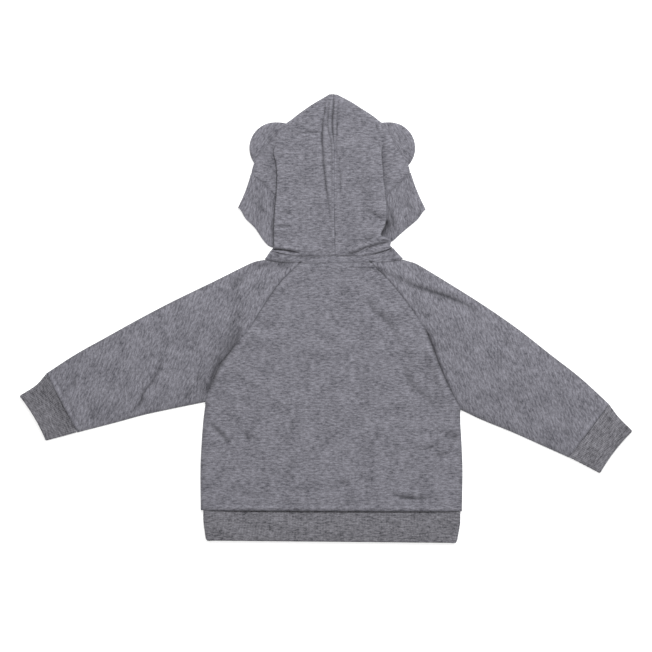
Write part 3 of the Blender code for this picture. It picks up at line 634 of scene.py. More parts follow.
class Relief:
    """Height of the garment's upper and lower side over the floor."""

    raglan_dip = SeamDip(1.7, 1.3, 0.2, 4.6)
    hem_dip = SeamDip(1.2, 1.0, 1.6, 3.6)
    cuff_dip = SeamDip(0.4, 1.0, 1.7, 3.2)
    neck_dip = SeamDip(1.5, 1.6, 0.3, 5.0)
    loose_from = (3, 18)  # in from a folded edge, where the cloth starts to lie loose
    creased_from = (0, 6)  # and where creases and seams start to show
    lifted_from = (1, 8)  # and where the lower side starts to lift off the floor
    lower_reach = 4
    lower_lift = 0.25
    lower_looseness = 0.5
    most_lift = 1.1

    def __init__(self, outlines: Outlines) -> None:
        """Takes the folds and seams from the outlines."""
        tables = (outlines.shoulder, outlines.underarm, outlines.side)
        self.folds = [along(table, side) for table in tables for side in Side]
        hem = Line(np.array([outlines.side[-1].on(side) for side in Side]))
        ends = (outlines.shoulder, outlines.underarm)
        cuffs = [Line(np.array([table[-1].on(side) for table in ends])) for side in Side]
        raglans = [along(outlines.back_raglan, side) for side in Side]
        necks = [outlines.neckline(back=True), *(along(outlines.back_neck, side) for side in Side)]
        self.seams = [(self.raglan_dip, seam) for seam in raglans] + [(self.hem_dip, hem)]
        self.seams += [(self.cuff_dip, seam) for seam in cuffs]
        self.seams += [(self.neck_dip, seam) for seam in necks]
        self.hidden_raglans = [along(outlines.front_raglan, side) for side in Side]

    def inward(self, points: Array) -> Array:
        """Distance in from the nearest folded edge."""
        return np.minimum.reduce([np.abs(beside(points, fold.points)[0]) for fold in self.folds])

    def upper(self, points: Array) -> Array:
        """Shapes the back or a sleeve's upper side.

        Args:
            points: places in the plane.

        Returns:
            The height at each place.
        """
        inward = self.inward(points)
        rise = EDGE_RISE * rounded(inward, EDGE_REACH) + DOME_RISE * (1 - np.exp(-inward / DOME_REACH))
        extra = loose_cloth(points) * eased(inward, *self.loose_from)
        extra = folded((*BACK_CREASES, *SLEEVE_CREASES), points, extra)
        extra = sum((dip.height(points, seam) for dip, seam in self.seams), extra)
        height = MIDDLE + SEAM + rise + extra * eased(inward, *self.creased_from)
        least = np.minimum(LEAST_HEIGHT, MIDDLE + SEAM + rise)
        return np.maximum(height, least + SOFT_FLOOR * (height - least))

    def lower(self, points: Array) -> Array:
        """Shapes the front or a sleeve's lower side, which lies on the floor.

        Args:
            points: places in the plane.

        Returns:
            The height at each place.
        """
        inward = self.inward(points)
        drop = (MIDDLE - SEAM - SURFACE) * rounded(inward, self.lower_reach)
        lift = self.lower_lift + self.lower_looseness * loose_cloth(points)
        lift = lift - folded(HIDDEN_CREASES, points)
        lift = lift - sum(self.raglan_dip.height(points, raglan) for raglan in self.hidden_raglans)
        return MIDDLE - SEAM - drop + np.clip(lift, 0, self.most_lift) * eased(inward, *self.lifted_from)

    def laid(self, points: Array, back: bool) -> Array:
        """Points lifted to the upper side, or to the lower one."""
        return with_heights(points, self.upper(points) if back else self.lower(points))


# ---- finishes
@dataclass(frozen=True)
class Grain:
    """Soft noise: the size of its cells in metres, and how rough it is."""

    across: float
    down: float
    detail: float
    rough: float


LONG_STREAK = Grain(0.0062, 0.002, 1.5, 0.55)
SHORT_STREAK = Grain(0.0021, 0.0011, 2, 0.65)
MOTTLE = Grain(0.024, 0.016, 2, 0.55)
FUZZ = Grain(0.0005, 0.0004, 3, 0.7)


class Nodes:
    """A small helper that adds and joins shader nodes in one tree."""

    def __init__(self, tree: bpy.types.NodeTree) -> None:
        """Works on the given tree."""
        self.tree = tree

    def fill(self, node: bpy.types.Node, values: dict[str | int, object]) -> None:
        """Sets a node's inputs.

        Args:
            node: the node to fill.
            values: a number, colour or socket for each input by its name or place.
        """
        for name, value in values.items():
            if isinstance(value, bpy.types.NodeSocket):
                self.tree.links.new(value, node.inputs[name])
            else:
                node.inputs[name].default_value = value

    def add(self, kind: str, values: dict[str | int, object], **settings: object) -> bpy.types.Node:
        """Adds a node.

        Args:
            kind: its type.
            values: what its inputs are filled with.
            **settings: its own settings.

        Returns:
            The new node.
        """
        node = self.tree.nodes.new(kind)
        for name, value in settings.items():
            setattr(node, name, value)
        self.fill(node, values)
        return node

    def math(self, operation: str, *terms: object) -> bpy.types.NodeSocket:
        """The result of a maths node on sockets or numbers."""
        return self.add("ShaderNodeMath", dict(enumerate(terms)), operation=operation).outputs[0]

    def noise(self, vector: bpy.types.NodeSocket, grain: Grain) -> bpy.types.NodeSocket:
        """Adds soft noise.

        Args:
            vector: coordinates on the flat cut.
            grain: the noise's size and roughness.

        Returns:
            The socket of its value.
        """
        scale = (1 / grain.across, 1 / grain.down, 1)
        cells = self.add("ShaderNodeMapping", {"Vector": vector, "Scale": scale}).outputs[0]
        values = {"Vector": cells, "Scale": 1, "Detail": grain.detail, "Roughness": grain.rough}
        noise = self.add("ShaderNodeTexNoise", values, noise_dimensions="2D", normalize=True)
        return noise.outputs[0]


def new_group(name: str, inputs: dict[str, float], outputs: Sequence[str]) -> Nodes:
    """Makes an empty shader node group that takes a vector and numbers and gives numbers.

    Args:
        name: of the group.
        inputs: its numbers and their defaults.
        outputs: the names of what it gives.

    Returns:
        The helper for the group's tree.
    """
    tree = bpy.data.node_groups.new(name, "ShaderNodeTree")
    tree.interface.new_socket("Vector", in_out="INPUT", socket_type="NodeSocketVector")
    for label, value in inputs.items():
        socket = tree.interface.new_socket(label, in_out="INPUT", socket_type="NodeSocketFloat")
        socket.default_value = value
    for label in outputs:
        tree.interface.new_socket(label, in_out="OUTPUT", socket_type="NodeSocketFloat")
    return Nodes(tree)


def marl_and_painted_shade_group() -> bpy.types.NodeTree:
    """Mixes light and dark fibres: short streaks along the courses, in a soft mottle; also turns the painted
    shade into a factor for the colour.

    Returns:
        The node group.
    """
    settings = {"Streak": 1.0, "Mottle": 1.0, "Hollow": 0.0, "Gloom": 0.6}
    nodes = new_group("marl", settings, ("Tone", "Fibre", "Shade"))
    plus, minus, times = (partial(nodes.math, name) for name in ("ADD", "SUBTRACT", "MULTIPLY"))
    given = nodes.add("NodeGroupInput", {}).outputs
    vector = given["Vector"]
    long_streak, short_streak = nodes.noise(vector, LONG_STREAK), nodes.noise(vector, SHORT_STREAK)
    mottle = times(minus(nodes.noise(vector, MOTTLE), 0.5), given["Mottle"])
    streaks = plus(times(long_streak, 1.15), times(short_streak, 0.85))
    results = {
        "Tone": plus(times(minus(streaks, 1), given["Streak"]), mottle),
        "Fibre": plus(short_streak, times(long_streak, 0.6)),
        # painted shade: darker in folds, seams, under pleats and at folded edges, lighter on ridges
        "Shade": minus(1, times(given["Hollow"], given["Gloom"])),
    }
    nodes.add("NodeGroupOutput", results)
    return nodes.tree


def knit_group() -> bpy.types.NodeTree:
    """Draws the knit's face: columns of small loops, with a fuzz of loose fibre over them, and a mask of
    painted shade in the furrows between wales.

    Returns:
        The node group.
    """
    nodes = new_group("knit", {"Wale": 0.00115, "Course": 0.0009, "Fuzz": 0.6}, ("Height", "Furrow"))
    plus, times = partial(nodes.math, "ADD"), partial(nodes.math, "MULTIPLY")
    given = nodes.add("NodeGroupInput", {}).outputs
    cut = nodes.add("ShaderNodeSeparateXYZ", {0: given["Vector"]}).outputs
    column = times(nodes.math("DIVIDE", cut["X"], given["Wale"]), 2 * math.pi)
    loop = times(nodes.math("DIVIDE", cut["Y"], given["Course"]), 2 * math.pi)
    slant = times(nodes.math("ABSOLUTE", nodes.math("SINE", times(column, 0.5))), 2.6)
    wales = nodes.math("COSINE", column)
    loops = nodes.math("SINE", plus(loop, slant))
    fuzz = times(nodes.noise(given["Vector"], FUZZ), given["Fuzz"])
    results = {
        "Height": plus(plus(times(wales, 0.28), times(loops, 0.22)), fuzz),
        # painted shade in the furrows between wales, painted light on the wales
        "Furrow": plus(times(wales, 0.5), 0.5),
    }
    nodes.add("NodeGroupOutput", results)
    return nodes.tree


@dataclass(frozen=True)
class Finish:
    """The look of one cloth or thread; lengths are in metres."""

    name: str
    dark: Colour
    light: Colour
    streak: float = 0.98
    mottle: float = 0.5
    # how strongly the furrows between wales are painted darker and the wales lighter
    furrow: float = 0.05
    wale: float = 0.00115
    course: float = 0.0009
    fuzz: float = 0.7
    bump: float = 0.5
    bump_height: float = 0.0003
    sheen: float = 0.1
    roughness: float = 0.92

    def material(self, marl: bpy.types.NodeTree, knit: bpy.types.NodeTree) -> bpy.types.Material:
        """Builds the material from the shared groups.

        Args:
            marl: the group for the mixed fibres and the painted shade.
            knit: the group for the loops and fuzz.

        Returns:
            The finished material.
        """
        material = bpy.data.materials.new(self.name)
        material.use_nodes = True
        nodes = Nodes(material.node_tree)
        plus, times = partial(nodes.math, "ADD"), partial(nodes.math, "MULTIPLY")
        cut = nodes.add("ShaderNodeUVMap", {}, uv_map="cut").outputs[0]
        # reads the painted shade that each piece keeps on its points
        depth = nodes.add("ShaderNodeAttribute", {}, attribute_name="hollow").outputs["Fac"]
        values = {"Vector": cut, "Streak": self.streak, "Mottle": self.mottle, "Hollow": depth}
        fibres = nodes.add("ShaderNodeGroup", values, node_tree=marl).outputs
        values = {"Vector": cut, "Wale": self.wale, "Course": self.course, "Fuzz": self.fuzz}
        loops = nodes.add("ShaderNodeGroup", values, node_tree=knit).outputs
        # painted shade in the furrows between wales, painted light on the wales
        furrow = times(nodes.math("SUBTRACT", loops["Furrow"], 0.5), self.furrow)
        tone = plus(plus(fibres["Tone"], furrow), 0.5)
        values = {"Factor": tone, "A": (*self.dark, 1), "B": (*self.light, 1)}
        mix = nodes.add("ShaderNodeMix", values, data_type="RGBA", clamp_factor=True)
        # painted shade: the base colour darkened in folds, seams, under pleats and at folded edges, lightened
        # on ridges
        values = {"Factor": 1, "A": mix.outputs["Result"], "B": fibres["Shade"]}
        shaded = nodes.add("ShaderNodeMix", values, data_type="RGBA", blend_type="MULTIPLY")
        height = plus(loops["Height"], times(fibres["Fibre"], 0.5))
        values = {"Strength": self.bump, "Distance": self.bump_height, "Height": height}
        bump = nodes.add("ShaderNodeBump", values)
        surface = {
            "Base Color": shaded.outputs["Result"],
            "Normal": bump.outputs["Normal"],
            "Roughness": self.roughness,
            "Specular IOR Level": 0.2,
            "Sheen Weight": self.sheen,
            "Sheen Roughness": 0.5,
        }
        nodes.fill(material.node_tree.nodes["Principled BSDF"], surface)
        return material


FLEECE = Finish("grey_marl_fleece", (0.06, 0.059, 0.071), (0.282, 0.278, 0.317))
RIBBING = Finish(
    "grey_marl_rib", (0.053, 0.052, 0.06), (0.273, 0.268, 0.297),
    streak=1.1, mottle=0.4, furrow=0.25, wale=0.0019, course=0.001, fuzz=0.6, sheen=0.08,
)
THREAD = Finish(
    "grey_sewing_thread", (0.14, 0.138, 0.155), (0.25, 0.247, 0.275), streak=0.4, mottle=0, furrow=0,
    wale=0.0004, course=0.0006, fuzz=0.3, bump=0.3, sheen=0, roughness=0.7,
)


# ---- sewing a piece
def placed(maker: bmesh.types.BMesh, name: str, material: bpy.types.Material) -> bpy.types.Object:
    """Puts a shape into the scene.

    Args:
        maker: the shape, freed afterwards.
        name: of the mesh and the object.
        material: its one material.

    Returns:
        The new object.
    """
    mesh = bpy.data.meshes.new(name)
    maker.to_mesh(mesh)
    maker.free()
    mesh.shade_smooth()
    mesh.materials.append(material)
    thing = bpy.data.objects.new(name, mesh)
    bpy.context.scene.collection.objects.link(thing)
    return thing


@dataclass(frozen=True)
class Cut:
    """The flat size a piece was cut to, in metres, and its area where it isn't a rectangle."""

    width: float
    length: float
    area: float | None = None


@dataclass
class Piece:
    """One cut-and-sewn piece: a grid of cloth given its wall."""

    name: str
    cut: Cut
    finish: bpy.types.Material
    slot: str = "fleece"
    wall: float = FLEECE_WALL
    rests_on: tuple[str, ...] = ("floor",)

    def sew(self, rows: Array, flat: Array, closed: bool = False, fullness: Array | None = None) -> None:
        """Lays a grid on rows of points and gives it its wall.

        Args:
            rows: rows of points in millimetres.
            flat: the same grid on the flat cut, in millimetres.
            closed: whether the last column meets the first.
            fullness: share of the wall at each point, for a rounded edge.
        """
        maker = bmesh.new()
        bmesh.ops.create_grid(maker, x_segments=rows.shape[1] - 1, y_segments=len(rows) - 1)
        layer = maker.loops.layers.uv.new("cut")
        share = maker.verts.layers.deform.new()
        # a layer of painted shade on each point, which the material reads
        depth = maker.verts.layers.float.new("hollow")
        spots_in_metres = ((rows + ORIGIN_SHIFT) * METRES).reshape(-1, 3)
        # painted shade: darker in folds, seams, under pleats and at folded edges, lighter on ridges
        deep = np.minimum(painted_fold_shade(rows, closed) + painted_extra_shade(rows), MOST_PAINTED_SHADE).reshape(-1)
        for vertex, spot, hollow in zip(maker.verts, spots_in_metres, deep):
            vertex.co = spot
            vertex[depth] = float(hollow)
        if fullness is not None:
            for vertex, weight in zip(maker.verts, fullness.reshape(-1)):
                vertex[share][0] = float(weight)
        places = (flat.reshape(-1, 2) + CUT_STEP * len(self.name)) * METRES
        for face in maker.faces:
            for corner in face.loops:
                corner[layer].uv = places[corner.vert.index]
        if closed:
            bmesh.ops.remove_doubles(maker, verts=maker.verts, dist=WELD)
        bmesh.ops.recalc_face_normals(maker, faces=maker.faces)
        piece = placed(maker, self.name, self.finish)
        wall = piece.modifiers.new("wall", "SOLIDIFY")
        wall.thickness = self.wall * METRES
        wall.offset = 0
        wall.use_even_offset = False
        wall.use_quality_normals = False
        if fullness is not None:
            wall.vertex_group = piece.vertex_groups.new(name="fullness").name
        self.tie(piece)
        LOG.info("%s: %d by %d points", self.name, *rows.shape[:2])

    def tie(self, piece: bpy.types.Object) -> None:
        """Ties the piece to its body and hides its node in the model.

        Args:
            piece: the piece's object.
        """
        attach(piece, "root")
        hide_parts(self.name.removeprefix("cloth_"))


def with_heights(points: Array, heights: Array) -> Array:
    """Points in the plane lifted to their heights."""
    return np.concatenate([points, heights[..., None]], axis=-1)


def tube(over: Array, under: Array) -> Array:
    """Closed rows from the rows of a flattened tube's two sides."""
    return np.concatenate([over, under[:, -2:0:-1], over[:, :1]], axis=1)


def spin(angle: float) -> Array:
    """The matrix that turns row vectors in the plane by an angle in degrees."""
    cosine, sine = math.cos(math.radians(angle)), math.sin(math.radians(angle))
    return np.array([[cosine, sine], [-sine, cosine]])


# ---- body and sleeves
@dataclass
class Body:
    """The back panel and the front panel."""

    outlines: Outlines
    relief: Relief
    finish: bpy.types.Material
    back_grid: tuple[int, int] = (168, 158)
    front_grid: tuple[int, int] = (110, 100)
    back_cut: Cut = Cut(0.335, 0.325, 0.0865)
    front_cut: Cut = Cut(0.335, 0.3, 0.082)

    def panel(self, back: bool) -> Array:
        """Shapes one panel.

        Args:
            back: whether it is the back panel.

        Returns:
            Rows from the neck to the hem seam.
        """
        outlines = self.outlines
        raglan = outlines.back_raglan if back else outlines.front_raglan
        edges = []
        for side in Side:
            seam = along(raglan, side).moved(-side.value * SEAM)
            edges.append(seam.then(along(outlines.side, side)))
        neck = outlines.neckline(back).moved(-SEAM)
        neck.points[0], neck.points[-1] = edges[0].points[0], edges[1].points[0]
        hem = Line(np.array([edge.points[-1] for edge in edges]))
        columns, rows = self.back_grid if back else self.front_grid
        points = patch(Line(neck.points), hem, *edges, edged(columns, 0.65), edged(rows, 0.4))
        return self.relief.laid(points, back)

    def build(self) -> None:
        """Sews both panels."""
        front, back = self.panel(back=False), self.panel(back=True)
        over = ("cloth_front_panel",)
        Piece("cloth_back_panel", self.back_cut, self.finish, rests_on=over).sew(back, back[..., :2])
        Piece("cloth_front_panel", self.front_cut, self.finish).sew(front, front[..., :2])


@dataclass
class Sleeve:
    """A one-piece raglan sleeve, folded at the shoulder and seamed under the arm."""

    side: Side
    outlines: Outlines
    relief: Relief
    finish: bpy.types.Material
    upper_columns: int = 74
    lower_columns: int = 44
    rows: int = 150
    cut: Cut = Cut(0.31, 0.345, 0.0665)
    turn: float = 20.0  # how far the sleeve's length points down from level

    def half(self, back: bool) -> Array:
        """Shapes the sleeve's upper or lower side.

        Args:
            back: whether it is the upper side.

        Returns:
            Rows from the armhole to the cuff seam.
        """
        seam = self.outlines.armhole(self.side, back).moved(self.side.value * SEAM)
        shoulder = along(self.outlines.shoulder, self.side)
        underarm = along(self.outlines.underarm, self.side)
        ends = np.vstack([shoulder.points[0], seam.points[1:-1], underarm.points[0]])
        cuff = Line(np.array([shoulder.points[-1], underarm.points[-1]]))
        columns = self.upper_columns if back else self.lower_columns
        points = patch(Line(ends), cuff, shoulder, underarm, edged(columns, 0.7), edged(self.rows, 0.35))
        return self.relief.laid(points, back)

    def build(self) -> None:
        """Closes both sides into a flat tube."""
        over, under = self.half(back=True), self.half(back=False)
        over[:, [0, -1], 2] = MIDDLE
        rows = tube(over, under)
        flat = rows[..., :2] @ spin(self.side.value * (90 - self.turn))
        name = f"cloth_{self.side.name.lower()}_sleeve"
        Piece(name, self.cut, self.finish).sew(rows, flat, closed=True)


# ---- ribs
@dataclass
class Rib:
    """A doubled rib tube, flattened between two folded edges, with its wales standing up."""

    name: str
    first: Line
    second: Line
    cut: Cut
    finish: bpy.types.Material
    wale: float = 1.9
    wale_height: float = 0.16
    rows: int = 22
    columns_a_wale: int = 4
    low: float = 1.55
    high: float = 5.2
    crown: float = 0.5
    fold_points: int = 13
    fold_length: float = 2.2  # of a folded edge, in half heights
    beat: float = 0.3  # half the distance over which the section's slope is taken
    bow: float = 0.0  # how far the free edge is drawn in at its middle
    seam_drop: float = 0.9  # how far it sinks into its seam, or rises to it if negative
    drop_reach: float = 0.1  # as a share of the way to the free edge
    corner: float = 1.5  # how far the free edge's corners are rounded off
    edge_share: float = 0.35  # of the wall, at the free edge
    looseness: float = 0.5

    def section(self, width: float) -> Array:
        """Draws the tube's flattened section with its wales.

        Args:
            width: of the tube lying flat.

        Returns:
            The section's points, across from its left fold and up from its middle.
        """
        half = (self.high - self.low) / 2
        turn = np.linspace(0, np.pi, self.fold_points)
        fold = self.fold_length * half
        near = np.stack([fold - fold * np.sin(turn), -half * np.cos(turn)], axis=1)
        far = np.stack([width - near[::-1, 0], near[::-1, 1]], axis=1)
        outline = Line(np.vstack([near, far, near[:1]]))
        wales = round(2 * width / self.wale)
        places = np.linspace(0, outline.length, wales * self.columns_a_wale + 1)
        before, after = outline.at(places - self.beat), outline.at(places + self.beat)
        before[0], after[-1] = outline.at(outline.length - self.beat), outline.at(self.beat)
        tangent = after - before
        normal = np.stack([tangent[:, 1], -tangent[:, 0]], axis=1)
        normal /= np.linalg.norm(normal, axis=1)[:, None]
        wave = np.cos(2 * np.pi * np.arange(len(places)) / self.columns_a_wale)
        section = outline.at(places) - normal * (self.wale_height * wave)[:, None]
        section[-1] = section[0]
        return section

    def ring(self, down: float) -> Array:
        """Shapes one closed ring of the tube.

        Args:
            down: share of the way from the seam to the free edge.

        Returns:
            The ring's points.
        """
        start, end = self.first.share(down), self.second.share(down)
        width = float(np.linalg.norm(end - start))
        from_left, up = self.section(width).T
        across = from_left / width
        centre = np.sin(np.pi * np.clip(across, 0, 1))
        pull = self.corner * (1 - float(rounded(np.array((1 - down) * self.first.length), self.corner)))
        aside = np.exp(-from_left / self.corner) - np.exp((from_left - width) / self.corner)
        spot = start + (np.clip(across, -0.1, 1.1) + pull * aside / width)[:, None] * (end - start)
        inward = (self.first.points[0] - self.first.points[-1]) / self.first.length
        spot = spot + (self.bow * down**2 * centre)[:, None] * inward
        crown = self.crown * math.sin(math.pi * min(down * 1.1, 1))
        near_seam = self.seam_drop * math.exp(-((down / self.drop_reach) ** 2))
        swell = centre * (crown + self.looseness * loose_cloth(spot)) - near_seam
        return with_heights(spot, (self.high + self.low) / 2 + up + np.where(up > 0, swell, 0))

    def build(self) -> None:
        """Sews the tube, thinner at its folded free edge."""
        length = self.first.length
        shares = edged(self.rows, 0.55)
        rings = [self.ring(float(share)) for share in shares]
        count = min(len(ring) for ring in rings)
        even = np.linspace(0, 1, count)
        rows = np.array([ring if len(ring) == count else Line(ring).share(even) for ring in rings])
        rows[:, -1] = rows[:, 0]
        round_it = np.arange(count) * self.wale / self.columns_a_wale
        flat = np.stack(np.broadcast_arrays(round_it[None, :], -shares[:, None] * length), axis=-1)
        fullness = self.edge_share + (1 - self.edge_share) * rounded((1 - shares) * length, FOLDED_EDGE)
        fullness = np.broadcast_to(fullness[:, None], rows.shape[:2])
        Piece(self.name, self.cut, self.finish, "rib", RIB_WALL).sew(rows, flat, True, fullness)


# ---- neck strip
@dataclass
class NeckStrip:
    """The narrow strip over the neck seam, all round."""

    outlines: Outlines
    relief: Relief
    finish: bpy.types.Material
    columns: int = 110
    rows: int = 12
    gap: float = 0.3
    corner_clear: float = 1.0
    fold_reach: float = 4.0
    width: float = 9.0
    puff: float = 0.9
    edge_dip: float = 0.5
    cut: Cut = Cut(0.37, 0.012)

    def edge(self, back: bool) -> Line:
        """Finds the body's neck edge.

        Args:
            back: whether it is the back's.

        Returns:
            The edge from one sleeve to the other.
        """
        neck = self.outlines.back_neck if back else self.outlines.front_neck
        left, right = (along(neck, side) for side in Side)
        line = left.then(self.outlines.neckline(back)).then(right.backwards()).moved(self.gap)
        line.points[[0, -1], 1] += self.corner_clear
        return Line(line.points)

    def rim(self, back: bool) -> Line:
        """Finds the hood's base edge.

        Args:
            back: whether it is the back's.

        Returns:
            The edge from one side to the other.
        """
        base = self.outlines.hood_base if back else self.outlines.hood_front_base
        left, right = (along(base, side) for side in Side)
        line = left.backwards().then(right) if back else left.then(right.backwards())
        return line.moved(-self.gap)

    def build(self) -> None:
        """Joins the back run and the front run into one flattened ring."""
        shares = edged(self.columns, 0.6)
        up = np.linspace(0, 1, self.rows)[:, None, None]
        across = up[..., 0]
        sides = []
        for back in (True, False):
            low, high = self.edge(back), self.rim(back)
            points = (1 - up) * low.share(shares) + up * high.share(shares)
            level = np.full(points.shape[:-1], SURFACE)
            if back:
                body = self.relief.upper(low.moved(-1).share(shares)[None])[0]
                puff = self.puff * np.sin(np.pi * across) - self.edge_dip * np.abs(1 - 2 * across) ** 6
                level = (1 - across) * body[None] + across * COLLAR + puff
                level = level + 0.5 * loose_cloth(points * 1.6)
            turned = rounded(np.minimum(shares, 1 - shares) * high.length, self.fold_reach)
            sides.append(with_heights(points, MIDDLE + (level - MIDDLE) * turned[None]))
        over, under = sides
        under[:, [0, -1]] = over[:, [0, -1]]
        rows = tube(over, under)
        run = lengths_along(rows)
        flat = np.stack([run, np.broadcast_to(across * self.width, run.shape)], axis=-1)
        Piece("cloth_neck_strip", self.cut, self.finish, rests_on=("cloth_back_panel",)).sew(rows, flat, True)


# ---- hood
@dataclass(frozen=True)
class HoodRow:
    """One control row of a hood half: centre seam, pleat crease, far end.

    turn 1 turns the cloth back under the crease, 0 steps it down to the end's level. rim is the
    seam's height at the end, tilt 1 where that seam is a fold and 0 where it lies flat. tuck is
    how far the cloth slips back under the crease on the way.
    """

    centre: Pair
    crease: Spot
    end: Spot
    turn: int
    level: float
    rim: float
    tilt: float = 0.0
    tuck: float = 0.0


HOOD_ROWS = (
    HoodRow((3.8, 358.9), Spot(74.6, 364.9, 73.6, 368.8), Spot(39.9, 338.2, 39.9, 338.2), 1, 0.9, 0.9),
    HoodRow((3.8, 363), Spot(72.4, 367.2, 70.8, 371.8), Spot(39.9, 352, 39.9, 352), 1, 1.8, 1.8),
    HoodRow((3.7, 369), Spot(70.5, 371.6, 71.6, 377), Spot(39.9, 363, 39.9, 363), 1, 3.8, 3.8),
    HoodRow((3.5, 382), Spot(70.5, 384, 59, 385.5), Spot(39.9, 381, 39.9, 381), 1, 5.6, 5.6),
    HoodRow((3.2, 398), Spot(70.3, 400, 64.5, 399), Spot(39.9, 398.6, 39.9, 398.6), 1, 6.9, 6.9),
    HoodRow((2.8, 412), Spot(69.6, 413, 66.2, 413), Spot(51, 411.5, 50.5, 410.5), 1, 7.1, 5, 0.5),
    HoodRow((2.6, 426), Spot(68.4, 427, 65.6, 426.5), Spot(62, 421.9, 60, 421.5), 1, 7.1, 5.2, 0.7),
    HoodRow((2.7, 436), Spot(67.5, 436, 64.6, 435.5), Spot(72.6, 436.6, 69, 435.4), 0, 5.1, 3.7, 0, 4),
    HoodRow((2.8, 444), Spot(67, 444.5, 63.8, 445), Spot(80.5, 443.2, 76.5, 443.6), 0, 5.2, 3.6, 0, 4),
    HoodRow((2.9, 452.5), Spot(66.8, 452.5, 62.4, 453), Spot(88, 450.5, 86, 451.2), 0, 5.3, 3.6, 0, 4),
    HoodRow((2.9, 463), Spot(66.8, 462.5, 61.8, 462.5), Spot(100.4, 461.5, 97.4, 462.2), 0, 5.4, 3.6, 0, 3.6),
    HoodRow((2.8, 476), Spot(68, 475, 60.8, 475), Spot(97.4, 473, 95.2, 471.6), 0, 5.5, 4, 0.5, 3),
    HoodRow((2.6, 490), Spot(71, 488, 59.8, 487.5), Spot(88.2, 485.7, 87.6, 483.6), 0, 6, 4.7, 0.4, 1.6),
    HoodRow((2.2, 505), Spot(66, 500.5, 59.6, 500), Spot(76.6, 500.8, 78.6, 497.6), 0, 6.8, 4.9, 0.4, 0.2),
    HoodRow((0.6, 521), Spot(54, 515, 54, 513), Spot(59.2, 521.8, 63.8, 523), 0, 6.9, 4, 0.7),
    HoodRow((0.4, 537), Spot(36, 530.5, 38, 530.5), Spot(43.2, 533.4, 50.9, 531.6), 0, 6.6, MIDDLE, 1),
    HoodRow((1.9, 551.5), Spot(13, 548.5, 17, 548.5), Spot(20.6, 548, 26.2, 549.2), 0, 6.2, 2.7, 1),
    HoodRow((0.8, 561.4), Spot(1.8, 561, 3.2, 560.8), Spot(2.6, 560.4, 5.6, 560), 0, 4.4, 3, 1),
)
HOOD_CREASES = (
    Crease(((-10, 540), (-11.9, 520), (-12.4, 503), (-11.4, 488), (-10.2, 470), (-7.6, 448), (-4.4, 424),
           (-1.6, 402)), 1.2, 1.8, -0.2, fade=0.5, spread=1.6),
    Crease(((-10.6, 533), (-12, 519), (-12.5, 505), (-11.6, 490)), 0.9, 1.8, -0.2, spread=1.6),
    Crease(((-8.6, 552), (-8.9, 543), (-9.6, 533)), 1, 1.3, 0),
    Crease(((6.2, 528), (5.9, 517), (6.2, 508)), 1.2, 1.3, 0),
    Crease(((8.2, 486), (8.7, 476), (9.8, 464), (10.4, 450), (9.6, 428)), 0.65, 1.8, 0.3),
    Crease(((-42, 512), (-27, 513.5), (-13, 513)), 1.1, 1.9, 0.3),
    Crease(((-71, 397), (-62, 396), (-50, 396.5)), 1.7, 1.8, -0.3),
    Crease(((-66, 416), (-59, 413.5), (-50, 415)), 0.6, 4),
    Crease(((-80, 366.6), (-70, 367), (-58, 366), (-42, 363)), 3.6, 1.5, 0.3, fade=0.4),
    Crease(((18, 360.5), (32, 363), (44, 368.8), (57, 373), (72, 377)), 2.6, 2.4, 0.35, fade=0.5),
    Crease(((40, 416), (52, 411.5), (60, 407), (69, 401.5)), 1.1, 3.8),
    Crease(((54, 386), (46, 378), (36, 373)), 1.2, 5),
    Crease(((-34, 378), (-12, 373), (10, 372)), 0.5, 6),
    Crease(((30, 455), (40, 440), (46, 424)), 0.5, 7),
    Crease(((-58, 474), (-48, 468), (-36, 468)), 0.4, 6),
)
ROOF_RIDGE = Crease(
    ((-56, 525), (-66.5, 515.5), (-75, 505.5), (-79, 500.5), (-91, 482), (-97, 471)),
    0.45, 1.6, 0, Fold.RIDGE, fade=0.3,
)
FLAP_ROLL = ((-5.6, 540), (-6.6, 515), (-5.8, 490), (-4.6, 455), (-1.6, 420))
SEAM_LINE = (
    (1.6, 561), (1.9, 549), (0.2, 532), (0.5, 516), (2.4, 497), (2.9, 466), (2.6, 420), (3.8, 358),
)


